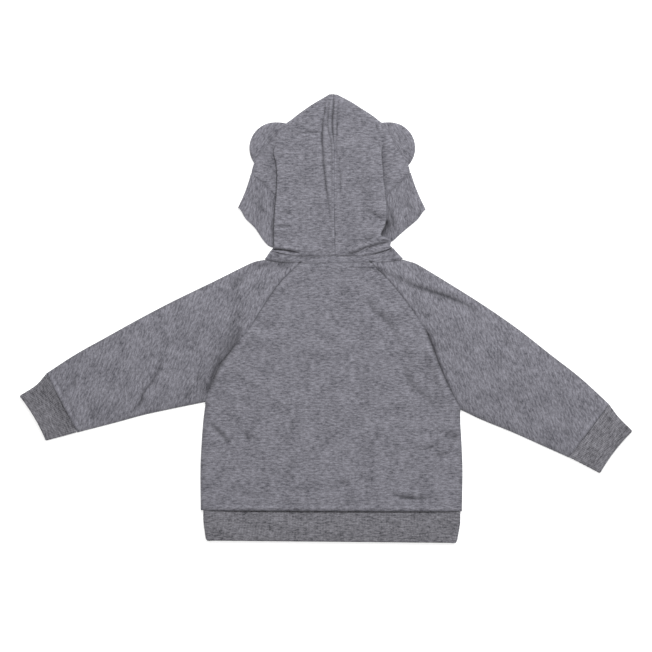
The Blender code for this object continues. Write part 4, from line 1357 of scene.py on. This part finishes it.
class HoodRelief:
    """Height of the hood's upper layer, which climbs over whatever lies under it."""

    neck_rise = (357, 373)
    pleat_span = (36, 60)
    pleat_top = (462, 506)
    middle_level = 8.2
    pleat_lift = 1.5
    roof_drop = 1.6
    roof_span = (500, 530)
    seam_opens = (498, 520)
    # of the rolls beside the seam: spread, breadth and rise, and how much more where it opens
    rolls = ((1.2, 1.9), (1.1, 0.7), (1.4, 1.4))
    rolls_rise = (400, 500)
    groove_depth, groove_width = 2.4, 0.85
    groove_fades = (410, 450)
    flap_height, flap_width = 1.3, 3.2
    peak = (535, 556)
    peak_calm = 0.6
    loose_scale, loose_shift = 1.25, 31
    neck_seam, neck_depth, neck_width = 358.5, 1.4, 1.8

    def seam_ridges(self, points: Array) -> Array:
        """Shapes the two rolls beside the centre seam, strongest at the peak, and the groove between.

        Args:
            points: places in the plane.

        Returns:
            The height that they add at each place.
        """
        up, away = points[..., 1], np.abs(beside(points, curved(np.array(SEAM_LINE)))[0])
        opened = eased(up, *self.seam_opens)
        spread, breadth, rise = (closed + more * opened for closed, more in self.rolls)
        rolls = np.exp(-(((away - spread) / breadth) ** 2)) * (0.35 + 0.65 * eased(up, *self.rolls_rise))
        sunk = 0.3 * (1 - eased(up, *self.groove_fades)) + 0.15 + 1.1 * opened
        groove = np.exp(-((away / self.groove_width) ** 2)) * sunk
        return rise * rolls - self.groove_depth * groove

    def flap_roll(self, points: Array) -> Array:
        """The loose roll between the dark fold on the left and the seam."""
        signed, share = beside(points, curved(np.array(FLAP_ROLL)))
        taper = np.sin(np.pi * np.clip(share, *CREASE_ENDS))
        return self.flap_height * taper * np.exp(-((signed / self.flap_width) ** 2))

    def base(self, points: Array) -> Array:
        """Shapes the hood without its seams and creases.

        Args:
            points: places in the plane.

        Returns:
            The height at each place.
        """
        out, up = np.abs(points[..., 0]), points[..., 1]
        pleats = self.pleat_lift * eased(out, *self.pleat_span) * (1 - eased(up, *self.pleat_top))
        level = self.middle_level + pleats - self.roof_drop * eased(up, *self.roof_span)
        return COLLAR + (level - COLLAR) * eased(up, *self.neck_rise)

    def height(self, points: Array) -> Array:
        """Shapes the hood with its seams, creases and looseness.

        Args:
            points: places in the plane.

        Returns:
            The height at each place.
        """
        up = points[..., 1]
        total = self.base(points) + self.seam_ridges(points) + self.flap_roll(points)
        total = folded(HOOD_CREASES, points, total)
        still = 1 - self.peak_calm * eased(up, *self.peak)
        total = total + loose_cloth(points * self.loose_scale + self.loose_shift) * still
        return total - self.neck_depth * np.exp(-(((up - self.neck_seam) / self.neck_width) ** 2))


@dataclass
class HoodHalf:
    """Half of the hood, from the centre seam out over the pleat."""

    side: Side
    outlines: Outlines
    relief: HoodRelief
    finish: bpy.types.Material
    centre_columns: int = 54
    turn_columns: int = 11
    end_columns: int = 26
    rows: int = 150
    bulge: float = 1.3
    step: float = 6.0
    firm_tuck: float = 2.5
    crowding: float = 1.4  # of the columns towards the centre seam
    dip_rows: int = 3  # over which the base's curve fades out
    front_run: Pair = (10, 50)  # stretch of the front neckline that the first row follows
    fold_reach: float = 5.0
    seam_reach: float = 7.0
    peak: Pair = (551, 560)
    peak_height: float = 4.0
    cut: Cut = Cut(0.16, 0.25, 0.0205)

    def crease_columns(self, row: HoodRow, crease: Array, top: float) -> Array:
        """Shapes the cloth at the crease, turned under it or slipped back and stepped down.

        Args:
            row: the control row.
            crease: where its crease lies.
            top: the height there.

        Returns:
            Points from the crease on.
        """
        share = np.linspace(0, 1, self.turn_columns)
        if row.turn:
            angle = np.pi / 2 - np.pi * share
            outward, fall = self.bulge * np.cos(angle), 0.5 - 0.5 * np.sin(angle)
        else:
            room = min(self.step, 0.7 * float(np.linalg.norm(row.end.on(self.side) - crease)))
            knots = np.array([0, 0.16, 0.32, 0.48, 0.62, 0.76, 0.88, 1])
            firm = min(row.tuck / self.firm_tuck, 1)
            over = [0, self.bulge, 0.9 * self.bulge]
            tucked = np.array([*over, -0.55 * row.tuck, -row.tuck, -0.9 * row.tuck, -0.2, room])
            sunk = np.array([0, 0.12, 0.38, 0.52, 0.66, 0.92, 1, 1])
            smooth = 0.5 - 0.5 * np.cos(np.pi * knots)
            outward = np.interp(share, knots, firm * tucked + (1 - firm) * room * knots)
            fall = np.interp(share, knots, firm * sunk + (1 - firm) * smooth)
        points = crease + np.stack([self.side.value * outward, np.zeros_like(outward)], axis=1)
        return with_heights(points, top + (row.level - top) * fall)

    def control_row(self, index: int, row: HoodRow) -> Array:
        """Shapes one control row.

        Args:
            index: its place from the neck up.
            row: its spots and heights.

        Returns:
            Points from the centre seam to the far end.
        """
        crease, end = row.crease.on(self.side), row.end.on(self.side)
        centre = np.array([row.centre[0] + self.side.value * SEAM, row.centre[1]])
        share = np.linspace(0, 1, self.centre_columns + 1)[:-1, None] ** self.crowding
        base = along(self.outlines.hood_base, self.side)
        first, last = base.points[0, 1], base.points[-1, 1]
        dip = base.share(share[:, 0])[:, 1] - first - share[:, 0] * (last - first)
        points = centre + (crease - centre) * share
        points[:, 1] += dip * max(0, 1 - index / self.dip_rows)
        middle = with_heights(points, self.relief.base(points))
        turned = self.crease_columns(row, crease, float(self.relief.base(crease[None])[0]))
        line = Line(np.array([turned[-1, :2], end]))
        if index == 0:
            front = along(self.outlines.hood_front_base, self.side)
            line = Line(np.vstack([turned[-1, :2], front.at(np.linspace(*self.front_run, 5)), end]))
        places = edged(self.end_columns + 1, 0.5)[1:]
        inward = (1 - places) * line.length
        fold = rounded(inward, min(self.fold_reach, 0.6 * line.length))
        flat_seam = eased(inward, 0, min(self.seam_reach, 0.8 * line.length))
        rise = row.tilt * fold + (1 - row.tilt) * flat_seam
        tail = with_heights(line.share(places), row.rim + (row.level - row.rim) * rise)
        return np.vstack([middle, turned, tail])

    def build(self) -> Array:
        """Fills the rows between the control rows, lays on the relief and sews the half.

        Returns:
            The half's outer edge.
        """
        control = np.array([self.control_row(index, row) for index, row in enumerate(HOOD_ROWS)])
        rows = between_rows(control, self.rows)
        height, centre = rows[..., 2], self.centre_columns
        lifted = self.relief.height(rows[:, : centre + 1, :2])
        change = lifted[:, -1] - height[:, centre]
        height[:, :centre] = lifted[:, :centre]
        fading = np.linspace(1, 0, self.turn_columns) ** 1.5
        height[:, centre : centre + self.turn_columns] += change[:, None] * fading
        tail = rows[:, centre + self.turn_columns :]
        loose = 0.5 * loose_cloth(tail[..., :2] * 1.4) * np.sin(np.pi * edged(tail.shape[1], 0))
        tail[..., 2] += loose + ROOF_RIDGE.height(tail[..., :2])
        peak = eased(rows[..., 1], *self.peak)
        height[:] = height * (1 - peak) + peak * np.minimum(height, self.peak_height)
        flat = np.stack([self.side.value * lengths_along(rows), rows[..., 1]], axis=-1)
        name = f"cloth_hood_{self.side.name.lower()}"
        Piece(name, self.cut, self.finish, rests_on=("cloth_hood_band",)).sew(rows, flat)
        return rows[:, -1]


@dataclass(frozen=True)
class BandRow:
    """One cross-line of the face band: its seam edge, its face edge and their heights.

    rim and tilt are as in a hood row. turns_to is the height that the strip turns over from,
    and bow how far the line curves.
    """

    seam: Spot
    face: Spot
    level: float
    face_level: float
    rim: float
    tilt: float = 0.0
    turns_to: float | None = None
    bow: float = 0.0


BAND_ROWS = (
    BandRow(Spot(39.9, 338.2, 39.9, 338.2), Spot(0.3, 327.6, 0.3, 327.6), 0.9, 0.9, 0.9),
    BandRow(Spot(39.9, 352, 39.9, 352), Spot(0.3, 347, 0.3, 347), 1.8, 1.6, 1.8),
    BandRow(Spot(39.9, 363, 39.9, 363), Spot(0.3, 359.3, 0.3, 359.3), 3.4, 3.2, 3.6),
    BandRow(Spot(39.9, 381, 39.9, 381), Spot(0.8, 360.4, 0.8, 360.4), 4.4, 4, 5),
    BandRow(Spot(39.5, 398.4, 39.5, 398.4), Spot(2, 361.6, 2, 361.6), 4.6, 4, 5.4, 0, 1.4),
    BandRow(Spot(51, 411.5, 50.5, 410.5), Spot(30, 363, 30, 363), 2.4, 1.3, 3),
    BandRow(Spot(62, 421.9, 60, 421.5), Spot(57, 366, 58, 371), 3.4, 1.6, 3.4),
    BandRow(Spot(72.4, 437, 68.8, 435.8), Spot(77.4, 370.4, 75.8, 377.4), 5, 2, 3.7),
    BandRow(Spot(80.5, 443.5, 76.5, 443.9), Spot(84.4, 376.4, 83, 384), 5.5, 2.8, 3.6),
    BandRow(Spot(87.9, 451.1, 86, 451.8), Spot(96.8, 394.2, 95.6, 394.8), 5.6, 3.6, 3.6),
    BandRow(Spot(94.1, 456.9, 92.2, 457.4), Spot(108, 405.3, 107.6, 405.1), 5.3, 4, 3.6),
    BandRow(Spot(99.8, 461.6, 96.9, 462.3), Spot(116.4, 418.4, 115.8, 416), 5, 4.4, 3.6, 0, 0.9, -1.3),
    BandRow(Spot(98.6, 462.3, 96, 462.6), Spot(91.5, 431, 91, 430), 0.9, 0.9, 0.9),
    BandRow(Spot(95.7, 473.4, 93.4, 471.4), Spot(86, 447, 86, 447), 0.9, 0.9, 1.9, 1),
    BandRow(Spot(87.7, 486.1, 86.9, 484), Spot(62, 456, 62, 454), 0.9, 0.9, 2.1, 1),
    BandRow(Spot(77, 500.6, 78.3, 497.5), Spot(47, 467, 47.5, 465), 0.9, 0.9, 2.1, 1),
    BandRow(Spot(53.4, 526, 61.2, 524.5), Spot(31, 490, 32, 489), 0.9, 0.9, 2.1, 1),
    BandRow(Spot(28, 545.4, 32, 545.4), Spot(15, 509, 16, 509), 0.9, 0.9, 2.1, 1),
    BandRow(Spot(6, 558.6, 6.8, 558.2), Spot(3.4, 516, 3.4, 516), 0.9, 0.9, 2.1, 1),
)
BAND_CREASES = (
    Crease(((-74, 408), (-75, 395), (-74, 378)), 0.5, 3),
    Crease(((60, 382), (65, 393), (68.5, 406)), 2.4, 7, 0),
    Crease(((72, 420), (76, 405), (78, 392)), 1, 3.5),
    Crease(((-96, 430), (-90, 418), (-82, 410)), 0.6, 5),
    Crease(((-106, 426), (-97, 432), (-88, 430)), 0.5, 6),
    Crease(((90, 436), (96, 424), (103, 414)), 0.6, 5),
)


@dataclass
class FaceBand:
    """One long strip round the face opening, from neck to neck."""

    finish: bpy.types.Material
    columns: int = 34
    rows: int = 240
    bulge: float = 0.9
    turn_rows: int = 9
    folded_middle: float = 50.0  # no crease shows nearer to the centre line than this
    hidden: float = 1.3  # height under which the strip lies out of sight
    fold_reach: float = 3.5
    seam_reach: float = 6.0
    edge_round: float = 1.2
    edge_share: float = 0.4  # of the wall, at the face edge
    cut: Cut = Cut(0.62, 0.075, 0.0295)

    def across(self, seam: Array, face: Array, row: BandRow, level: float, face_level: float) -> Array:
        """Shapes one line across the strip.

        Args:
            seam, face: its ends.
            row: the control row it belongs to.
            level, face_level: its heights near the seam and at the face edge.

        Returns:
            Points from the seam edge to the face edge.
        """
        line = Line(np.array([seam, face]))
        shares = edged(self.columns, 0.5)
        aside = (face - seam) / line.length * row.bow * (1 if face[0] > 0 else -1)
        bowed = np.sin(np.pi * shares)[:, None] * np.array([-aside[1], aside[0]])
        inward = shares * line.length
        flat_seam = eased(inward, 0, self.seam_reach)
        rise = row.tilt * rounded(inward, self.fold_reach) + (1 - row.tilt) * flat_seam
        target = level + (face_level - level) * shares**1.5
        rim = row.rim if row.turns_to is None else level
        return with_heights(line.share(shares) + bowed, rim + (target - rim) * rise)

    def side_rows(self, side: Side) -> tuple[Array, int]:
        """Shapes the control rows on one side, neck to brow.

        Args:
            side: left or right.

        Returns:
            The rows, and which of them lies on the outer fold.
        """
        rows: list[Array] = []
        before = np.zeros(2)
        fold = 0
        for row in BAND_ROWS:
            seam, face = row.seam.on(side), row.face.on(side)
            if row.turns_to is None:
                rows.append(self.across(seam, face, row, row.level, row.face_level))
            else:
                fold = len(rows) + self.turn_rows // 2
                run = (seam - face) / np.linalg.norm(seam - face)
                outward = np.array([-run[1], run[0]])
                if outward @ ((seam + face) / 2 - before) < 0:
                    outward = -outward
                for angle in np.linspace(np.pi / 2, -np.pi / 2, self.turn_rows):
                    share = 0.5 + 0.5 * math.sin(angle)
                    move = outward * self.bulge * math.cos(angle)
                    rises = (row.level - row.turns_to, row.face_level - row.turns_to)
                    levels = [row.turns_to + rise * share for rise in rises]
                    rows.append(self.across(seam + move, face + move, row, *levels))
            before = (seam + face) / 2
        return np.array(rows), fold

    def half(self, side: Side) -> Array:
        """Fills in one side and lays its creases on what shows.

        Args:
            side: left or right.

        Returns:
            Rows from neck to brow.
        """
        control, fold = self.side_rows(side)
        rows = between_rows(control, self.rows // 2)
        plane, height = rows[..., :2], rows[..., 2]
        gaps = np.linalg.norm(np.diff(control, axis=0), axis=2).mean(axis=1)
        upper = np.linspace(0, 1, len(rows)) < gaps[:fold].sum() / gaps.sum()
        visible = (np.abs(rows[..., 0]) > self.folded_middle) & (height > self.hidden) & upper[:, None]
        change = folded(BAND_CREASES, plane) + 0.5 * loose_cloth(plane * 1.4)
        change = np.where(visible, change, 0) * eased(height, self.hidden, 2 * self.hidden)
        height[:] = np.maximum(height + change, SURFACE)
        return rows

    def build(self) -> None:
        """Joins both sides at the brow and sews the strip."""
        rows = np.concatenate([self.half(Side.LEFT), self.half(Side.RIGHT)[::-1]])
        run = lengths_along(rows)
        down = lengths_along(rows.transpose(1, 0, 2)).T[:, self.columns // 2]
        flat = np.stack([run, np.broadcast_to(down[:, None], run.shape)], axis=-1)
        fullness = self.edge_share + (1 - self.edge_share) * rounded(run[:, -1:] - run, self.edge_round)
        Piece("cloth_hood_band", self.cut, self.finish).sew(rows, flat, fullness=fullness)


# ---- ears
@dataclass
class Ear:
    """A round ear of two pieces, seamed round its edge and rooted in the roof seam."""

    side: Side
    out: float
    up: float
    radius: float
    lean: float
    hood_edge: Array
    finish: bpy.types.Material
    rows: int = 34
    columns: int = 56
    clear: float = 0.5
    flare: float = 0.045
    edge_reach: float = 3.4
    edge_rise: float = 2.1
    dome_reach: float = 8.0
    dome_rise: float = 1.3
    groove_at: float = 4.0
    groove_depth: float = 0.5
    front_reach: float = 3.0
    looseness: float = 0.8
    root_reach: float = 7.0
    root_drop: float = 0.2
    cut: Cut = Cut(0.065, 0.05, 0.0013)

    def reach(self, spokes: Array) -> Array:
        """How far the ear's edge lies from its middle, more where it runs up to the roof."""
        inner = eased(-self.side.value * spokes[..., 0], 0, 0.5)
        return self.radius * (1 + self.flare * inner * eased(spokes[..., 1], 0, 0.5))

    def root(self, centre: Array) -> Line:
        """Finds the part of the hood's edge that the ear is rooted in.

        Args:
            centre: the ear's middle.

        Returns:
            That part as a line with heights.
        """
        seam = Line(self.hood_edge[:, :2]).moved(-self.side.value * self.clear).points
        spokes = seam - centre
        distance = np.linalg.norm(spokes, axis=1)
        inside = np.flatnonzero(distance < self.reach(spokes / distance[:, None]))
        part = slice(inside[0] - 1, inside[-1] + 2)
        return Line(np.column_stack([seam, self.hood_edge[:, 2]])[part])

    def layer(self, back: bool) -> Array:
        """Shapes one piece.

        Args:
            back: whether it is the back piece, which lies on top.

        Returns:
            Rows from the root on the hood's edge to the round edge.
        """
        centre = np.array([self.side.value * self.out, self.up])
        root = self.root(centre)
        ends = np.degrees(np.arctan2(*(root.points[[0, -1], :2] - centre).T[::-1]))
        start, end = ends if self.side is Side.RIGHT else np.where(ends < 0, ends + 360, ends)
        shares = edged(self.columns, 0.5)
        turn = np.radians(start + (end - start) * shares)
        spokes = np.stack([np.cos(turn), np.sin(turn)], axis=1)
        rim = centre + spokes * self.reach(spokes)[:, None]
        foot = root.share(shares)
        up = (1 - (1 - np.linspace(0, 1, self.rows)) ** 1.6)[:, None, None]
        points = (1 - up) * foot[None, :, :2] + up * rim[None]
        away = np.linalg.norm(points - centre, axis=-1) + WELD
        inward = self.reach((points - centre) / away[..., None]) - away
        if not back:
            drop = (MIDDLE - SEAM - SURFACE) * rounded(inward, self.front_reach)
            return with_heights(points, MIDDLE - SEAM - drop)
        edge = rounded(inward, self.edge_reach)
        filled = self.edge_rise * edge + self.dome_rise * (1 - np.exp(-inward / self.dome_reach))
        filled = filled - self.groove_depth * np.exp(-((inward - self.groove_at) ** 2))
        loose = self.looseness * loose_cloth(points * 1.5)
        filled = filled + loose * eased(inward, 0, self.groove_at)
        rooted = (foot[None, :, 2] - MIDDLE - SEAM - self.root_drop) * edge
        near_root = 1 - eased(np.abs(beside(points, root.points[:, :2])[0]), 0, self.root_reach)
        return with_heights(points, MIDDLE + SEAM + near_root * rooted + (1 - near_root) * filled)

    def build(self) -> None:
        """Sews the ear's back piece and front piece."""
        for back, layer in ((True, "back"), (False, "front")):
            rows = self.layer(back)
            name = f"cloth_{self.side.name.lower()}_ear_{layer}"
            Piece(name, self.cut, self.finish).sew(rows, rows[..., :2] @ spin(90 - self.lean))


# ---- stitches
@dataclass
class Stitching:
    """A row of small stitches laid along a line on the cloth."""

    name: str
    lines: list[Array]
    finish: bpy.types.Material
    length: float = 2.1
    gap: float = 0.7
    thickness: float = 0.42

    def build(self) -> None:
        """Lays every stitch and joins them into one piece."""
        maker = bmesh.new()
        maker.loops.layers.uv.new("cut")
        half_size = (self.thickness / 2, self.thickness / 2, self.length / 2, 1 / METRES)
        pitch = self.length + self.gap
        for line in map(Line, self.lines):
            for number in range(int(line.length / pitch)):
                start, end = line.at(np.array([number * pitch, number * pitch + self.length]))
                middle = Vector(((start + end) / 2 + ORIGIN_SHIFT) * METRES)
                turned = Vector(end - start).normalized().to_track_quat("Z", "Y").to_matrix().to_4x4()
                shape = Matrix.Translation(middle) @ turned @ (Matrix.Diagonal(half_size) * METRES)
                bmesh.ops.create_uvsphere(
                    maker, u_segments=7, v_segments=6, radius=1, matrix=shape, calc_uvs=True
                )
        piece = placed(maker, self.name, self.finish)
        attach(piece, "root")
        LOG.info("%s: %d corners", self.name, len(piece.data.vertices))


# ---- the studio
@dataclass(frozen=True)
class Lamp:
    """A soft area light."""

    name: str
    place: tuple[float, float, float]
    size: float
    power: float
    tint: Colour = (1, 1, 1)

    def build(self) -> None:
        """Hangs the lamp so that it faces the middle of the floor."""
        light = bpy.data.lights.new(self.name, "AREA")
        light.shape = "DISK"
        light.size = self.size
        light.energy = self.power
        light.color = self.tint
        holder = bpy.data.objects.new(self.name, light)
        holder.location = self.place
        holder.rotation_euler = (-Vector(self.place)).to_track_quat("-Z", "Y").to_euler()
        bpy.context.scene.collection.objects.link(holder)


@dataclass
class Studio:
    """Pale floor, even light from all round, and a camera looking straight down."""

    view_width: float = 0.815
    view_centre: Pair = (-0.0006, -0.00895)
    view_height: float = 1.8
    floor_size: float = 3.0
    floor_drop: float = 0.0004
    floor_tone: Colour = (0.93, 0.93, 0.935)
    floor_glow: float = 0.5
    sky: float = 0.45
    lamps: tuple[Lamp, ...] = (
        Lamp("key_light", (0.5, 1, 1.85), 1.2, 40),
        Lamp("fill_light", (-0.9, -0.4, 2), 1.8, 7, (1, 0.98, 0.93)),
    )

    def floor(self) -> None:
        """Lays a pale floor that glows a little, so that it renders as plain white."""
        maker = bmesh.new()
        bmesh.ops.create_grid(maker, x_segments=1, y_segments=1, size=self.floor_size)
        bmesh.ops.translate(maker, verts=maker.verts, vec=(0, 0, -self.floor_drop))
        material = bpy.data.materials.new("pale_floor")
        material.use_nodes = True
        surface = {
            "Base Color": (*self.floor_tone, 1),
            "Roughness": 0.9,
            "Specular IOR Level": 0.1,
            "Emission Color": (1, 1, 1, 1),
            "Emission Strength": self.floor_glow,
        }
        Nodes(material.node_tree).fill(material.node_tree.nodes["Principled BSDF"], surface)
        placed(maker, "floor", material)

    def build(self) -> None:
        """Makes the floor, the world, the lamps and the camera."""
        scene = bpy.context.scene
        scene.view_settings.view_transform = "Standard"
        self.floor()
        world = bpy.data.worlds.new("studio_sky")
        world.use_nodes = True
        light = {"Color": (1, 1, 1, 1), "Strength": self.sky}
        Nodes(world.node_tree).fill(world.node_tree.nodes["Background"], light)
        scene.world = world
        for lamp in self.lamps:
            lamp.build()
        camera = bpy.data.cameras.new("camera")
        camera.type = "ORTHO"
        camera.ortho_scale = self.view_width
        camera.clip_end = 10
        holder = bpy.data.objects.new("camera", camera)
        holder.location = (*self.view_centre, self.view_height)
        scene.collection.objects.link(holder)
        scene.camera = holder


# ---- the whole garment
@dataclass
class Hoodie:
    """All the pieces of the garment."""

    outlines: Outlines = field(default_factory=Outlines)
    cuff_cut: Cut = Cut(0.15, 0.042)
    hem_cut: Cut = Cut(0.64, 0.039)
    stitch_rise: float = 0.9
    from_neck: float = 2.6  # of the stitches below the neck seam
    from_centre: float = 3.4  # and beside the hood's centre seam

    def build(self) -> None:
        """Builds every piece in order."""
        marl, knit = marl_and_painted_shade_group(), knit_group()
        fleece, ribbing, thread = (finish.material(marl, knit) for finish in (FLEECE, RIBBING, THREAD))
        relief, hood_relief = Relief(self.outlines), HoodRelief()
        Body(self.outlines, relief, fleece).build()
        for side in Side:
            Sleeve(side, self.outlines, relief, fleece).build()
        self.build_ribs(ribbing)
        NeckStrip(self.outlines, relief, fleece).build()
        FaceBand(fleece).build()
        left_edge, right_edge = (HoodHalf(side, self.outlines, hood_relief, fleece).build() for side in Side)
        Ear(Side.LEFT, 71, 493.7, 31.4, 143, left_edge, fleece).build()
        Ear(Side.RIGHT, 72, 493.9, 31.2, 37, right_edge, fleece).build()
        self.build_stitches(relief, hood_relief, thread)

    def build_ribs(self, finish: bpy.types.Material) -> None:
        """Sews the two cuffs and the hem band.

        Args:
            finish: the ribbing.
        """
        outlines = self.outlines
        for side in Side:
            edges = [along(table, side) for table in (outlines.cuff_top, outlines.cuff_low)]
            name = f"cloth_{side.name.lower()}_cuff"
            place = (name, *edges[:: side.value], self.cuff_cut, finish)
            Rib(*place, bow=2.1, seam_drop=-1.2, drop_reach=0.22).build()
        edges = [along(outlines.hem_side, side) for side in Side]
        Rib("cloth_hem_band", *edges, self.hem_cut, finish, corner=3.8).build()

    def build_stitches(self, relief: Relief, hood_relief: HoodRelief, finish: bpy.types.Material) -> None:
        """Lays the stitches along the neck and beside the hood's centre seam.

        Args:
            relief, hood_relief: the surfaces that they lie on.
            finish: the thread.
        """
        throat = self.outlines.neckline(back=True).moved(-self.from_neck)
        points = throat.at(np.linspace(2, throat.length - 2, 60))
        line = with_heights(points, relief.upper(points[None])[0] + self.stitch_rise)
        Stitching("neck_stitches", [line], finish).build()
        lines = []
        for side in Side:
            row = Line(curved(np.array(SEAM_LINE))).moved(side.value * self.from_centre)
            points = row.at(np.linspace(6, row.length - 3, 160))
            lines.append(with_heights(points, hood_relief.height(points[None])[0] + self.stitch_rise))
        Stitching("hood_stitches", lines, finish).build()


def main() -> None:
    """Builds the scene."""
    logging.basicConfig(level=logging.INFO, format="%(message)s")
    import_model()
    Studio().build()
    Hoodie().build()
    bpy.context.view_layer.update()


if __name__ == "__main__":
    main()
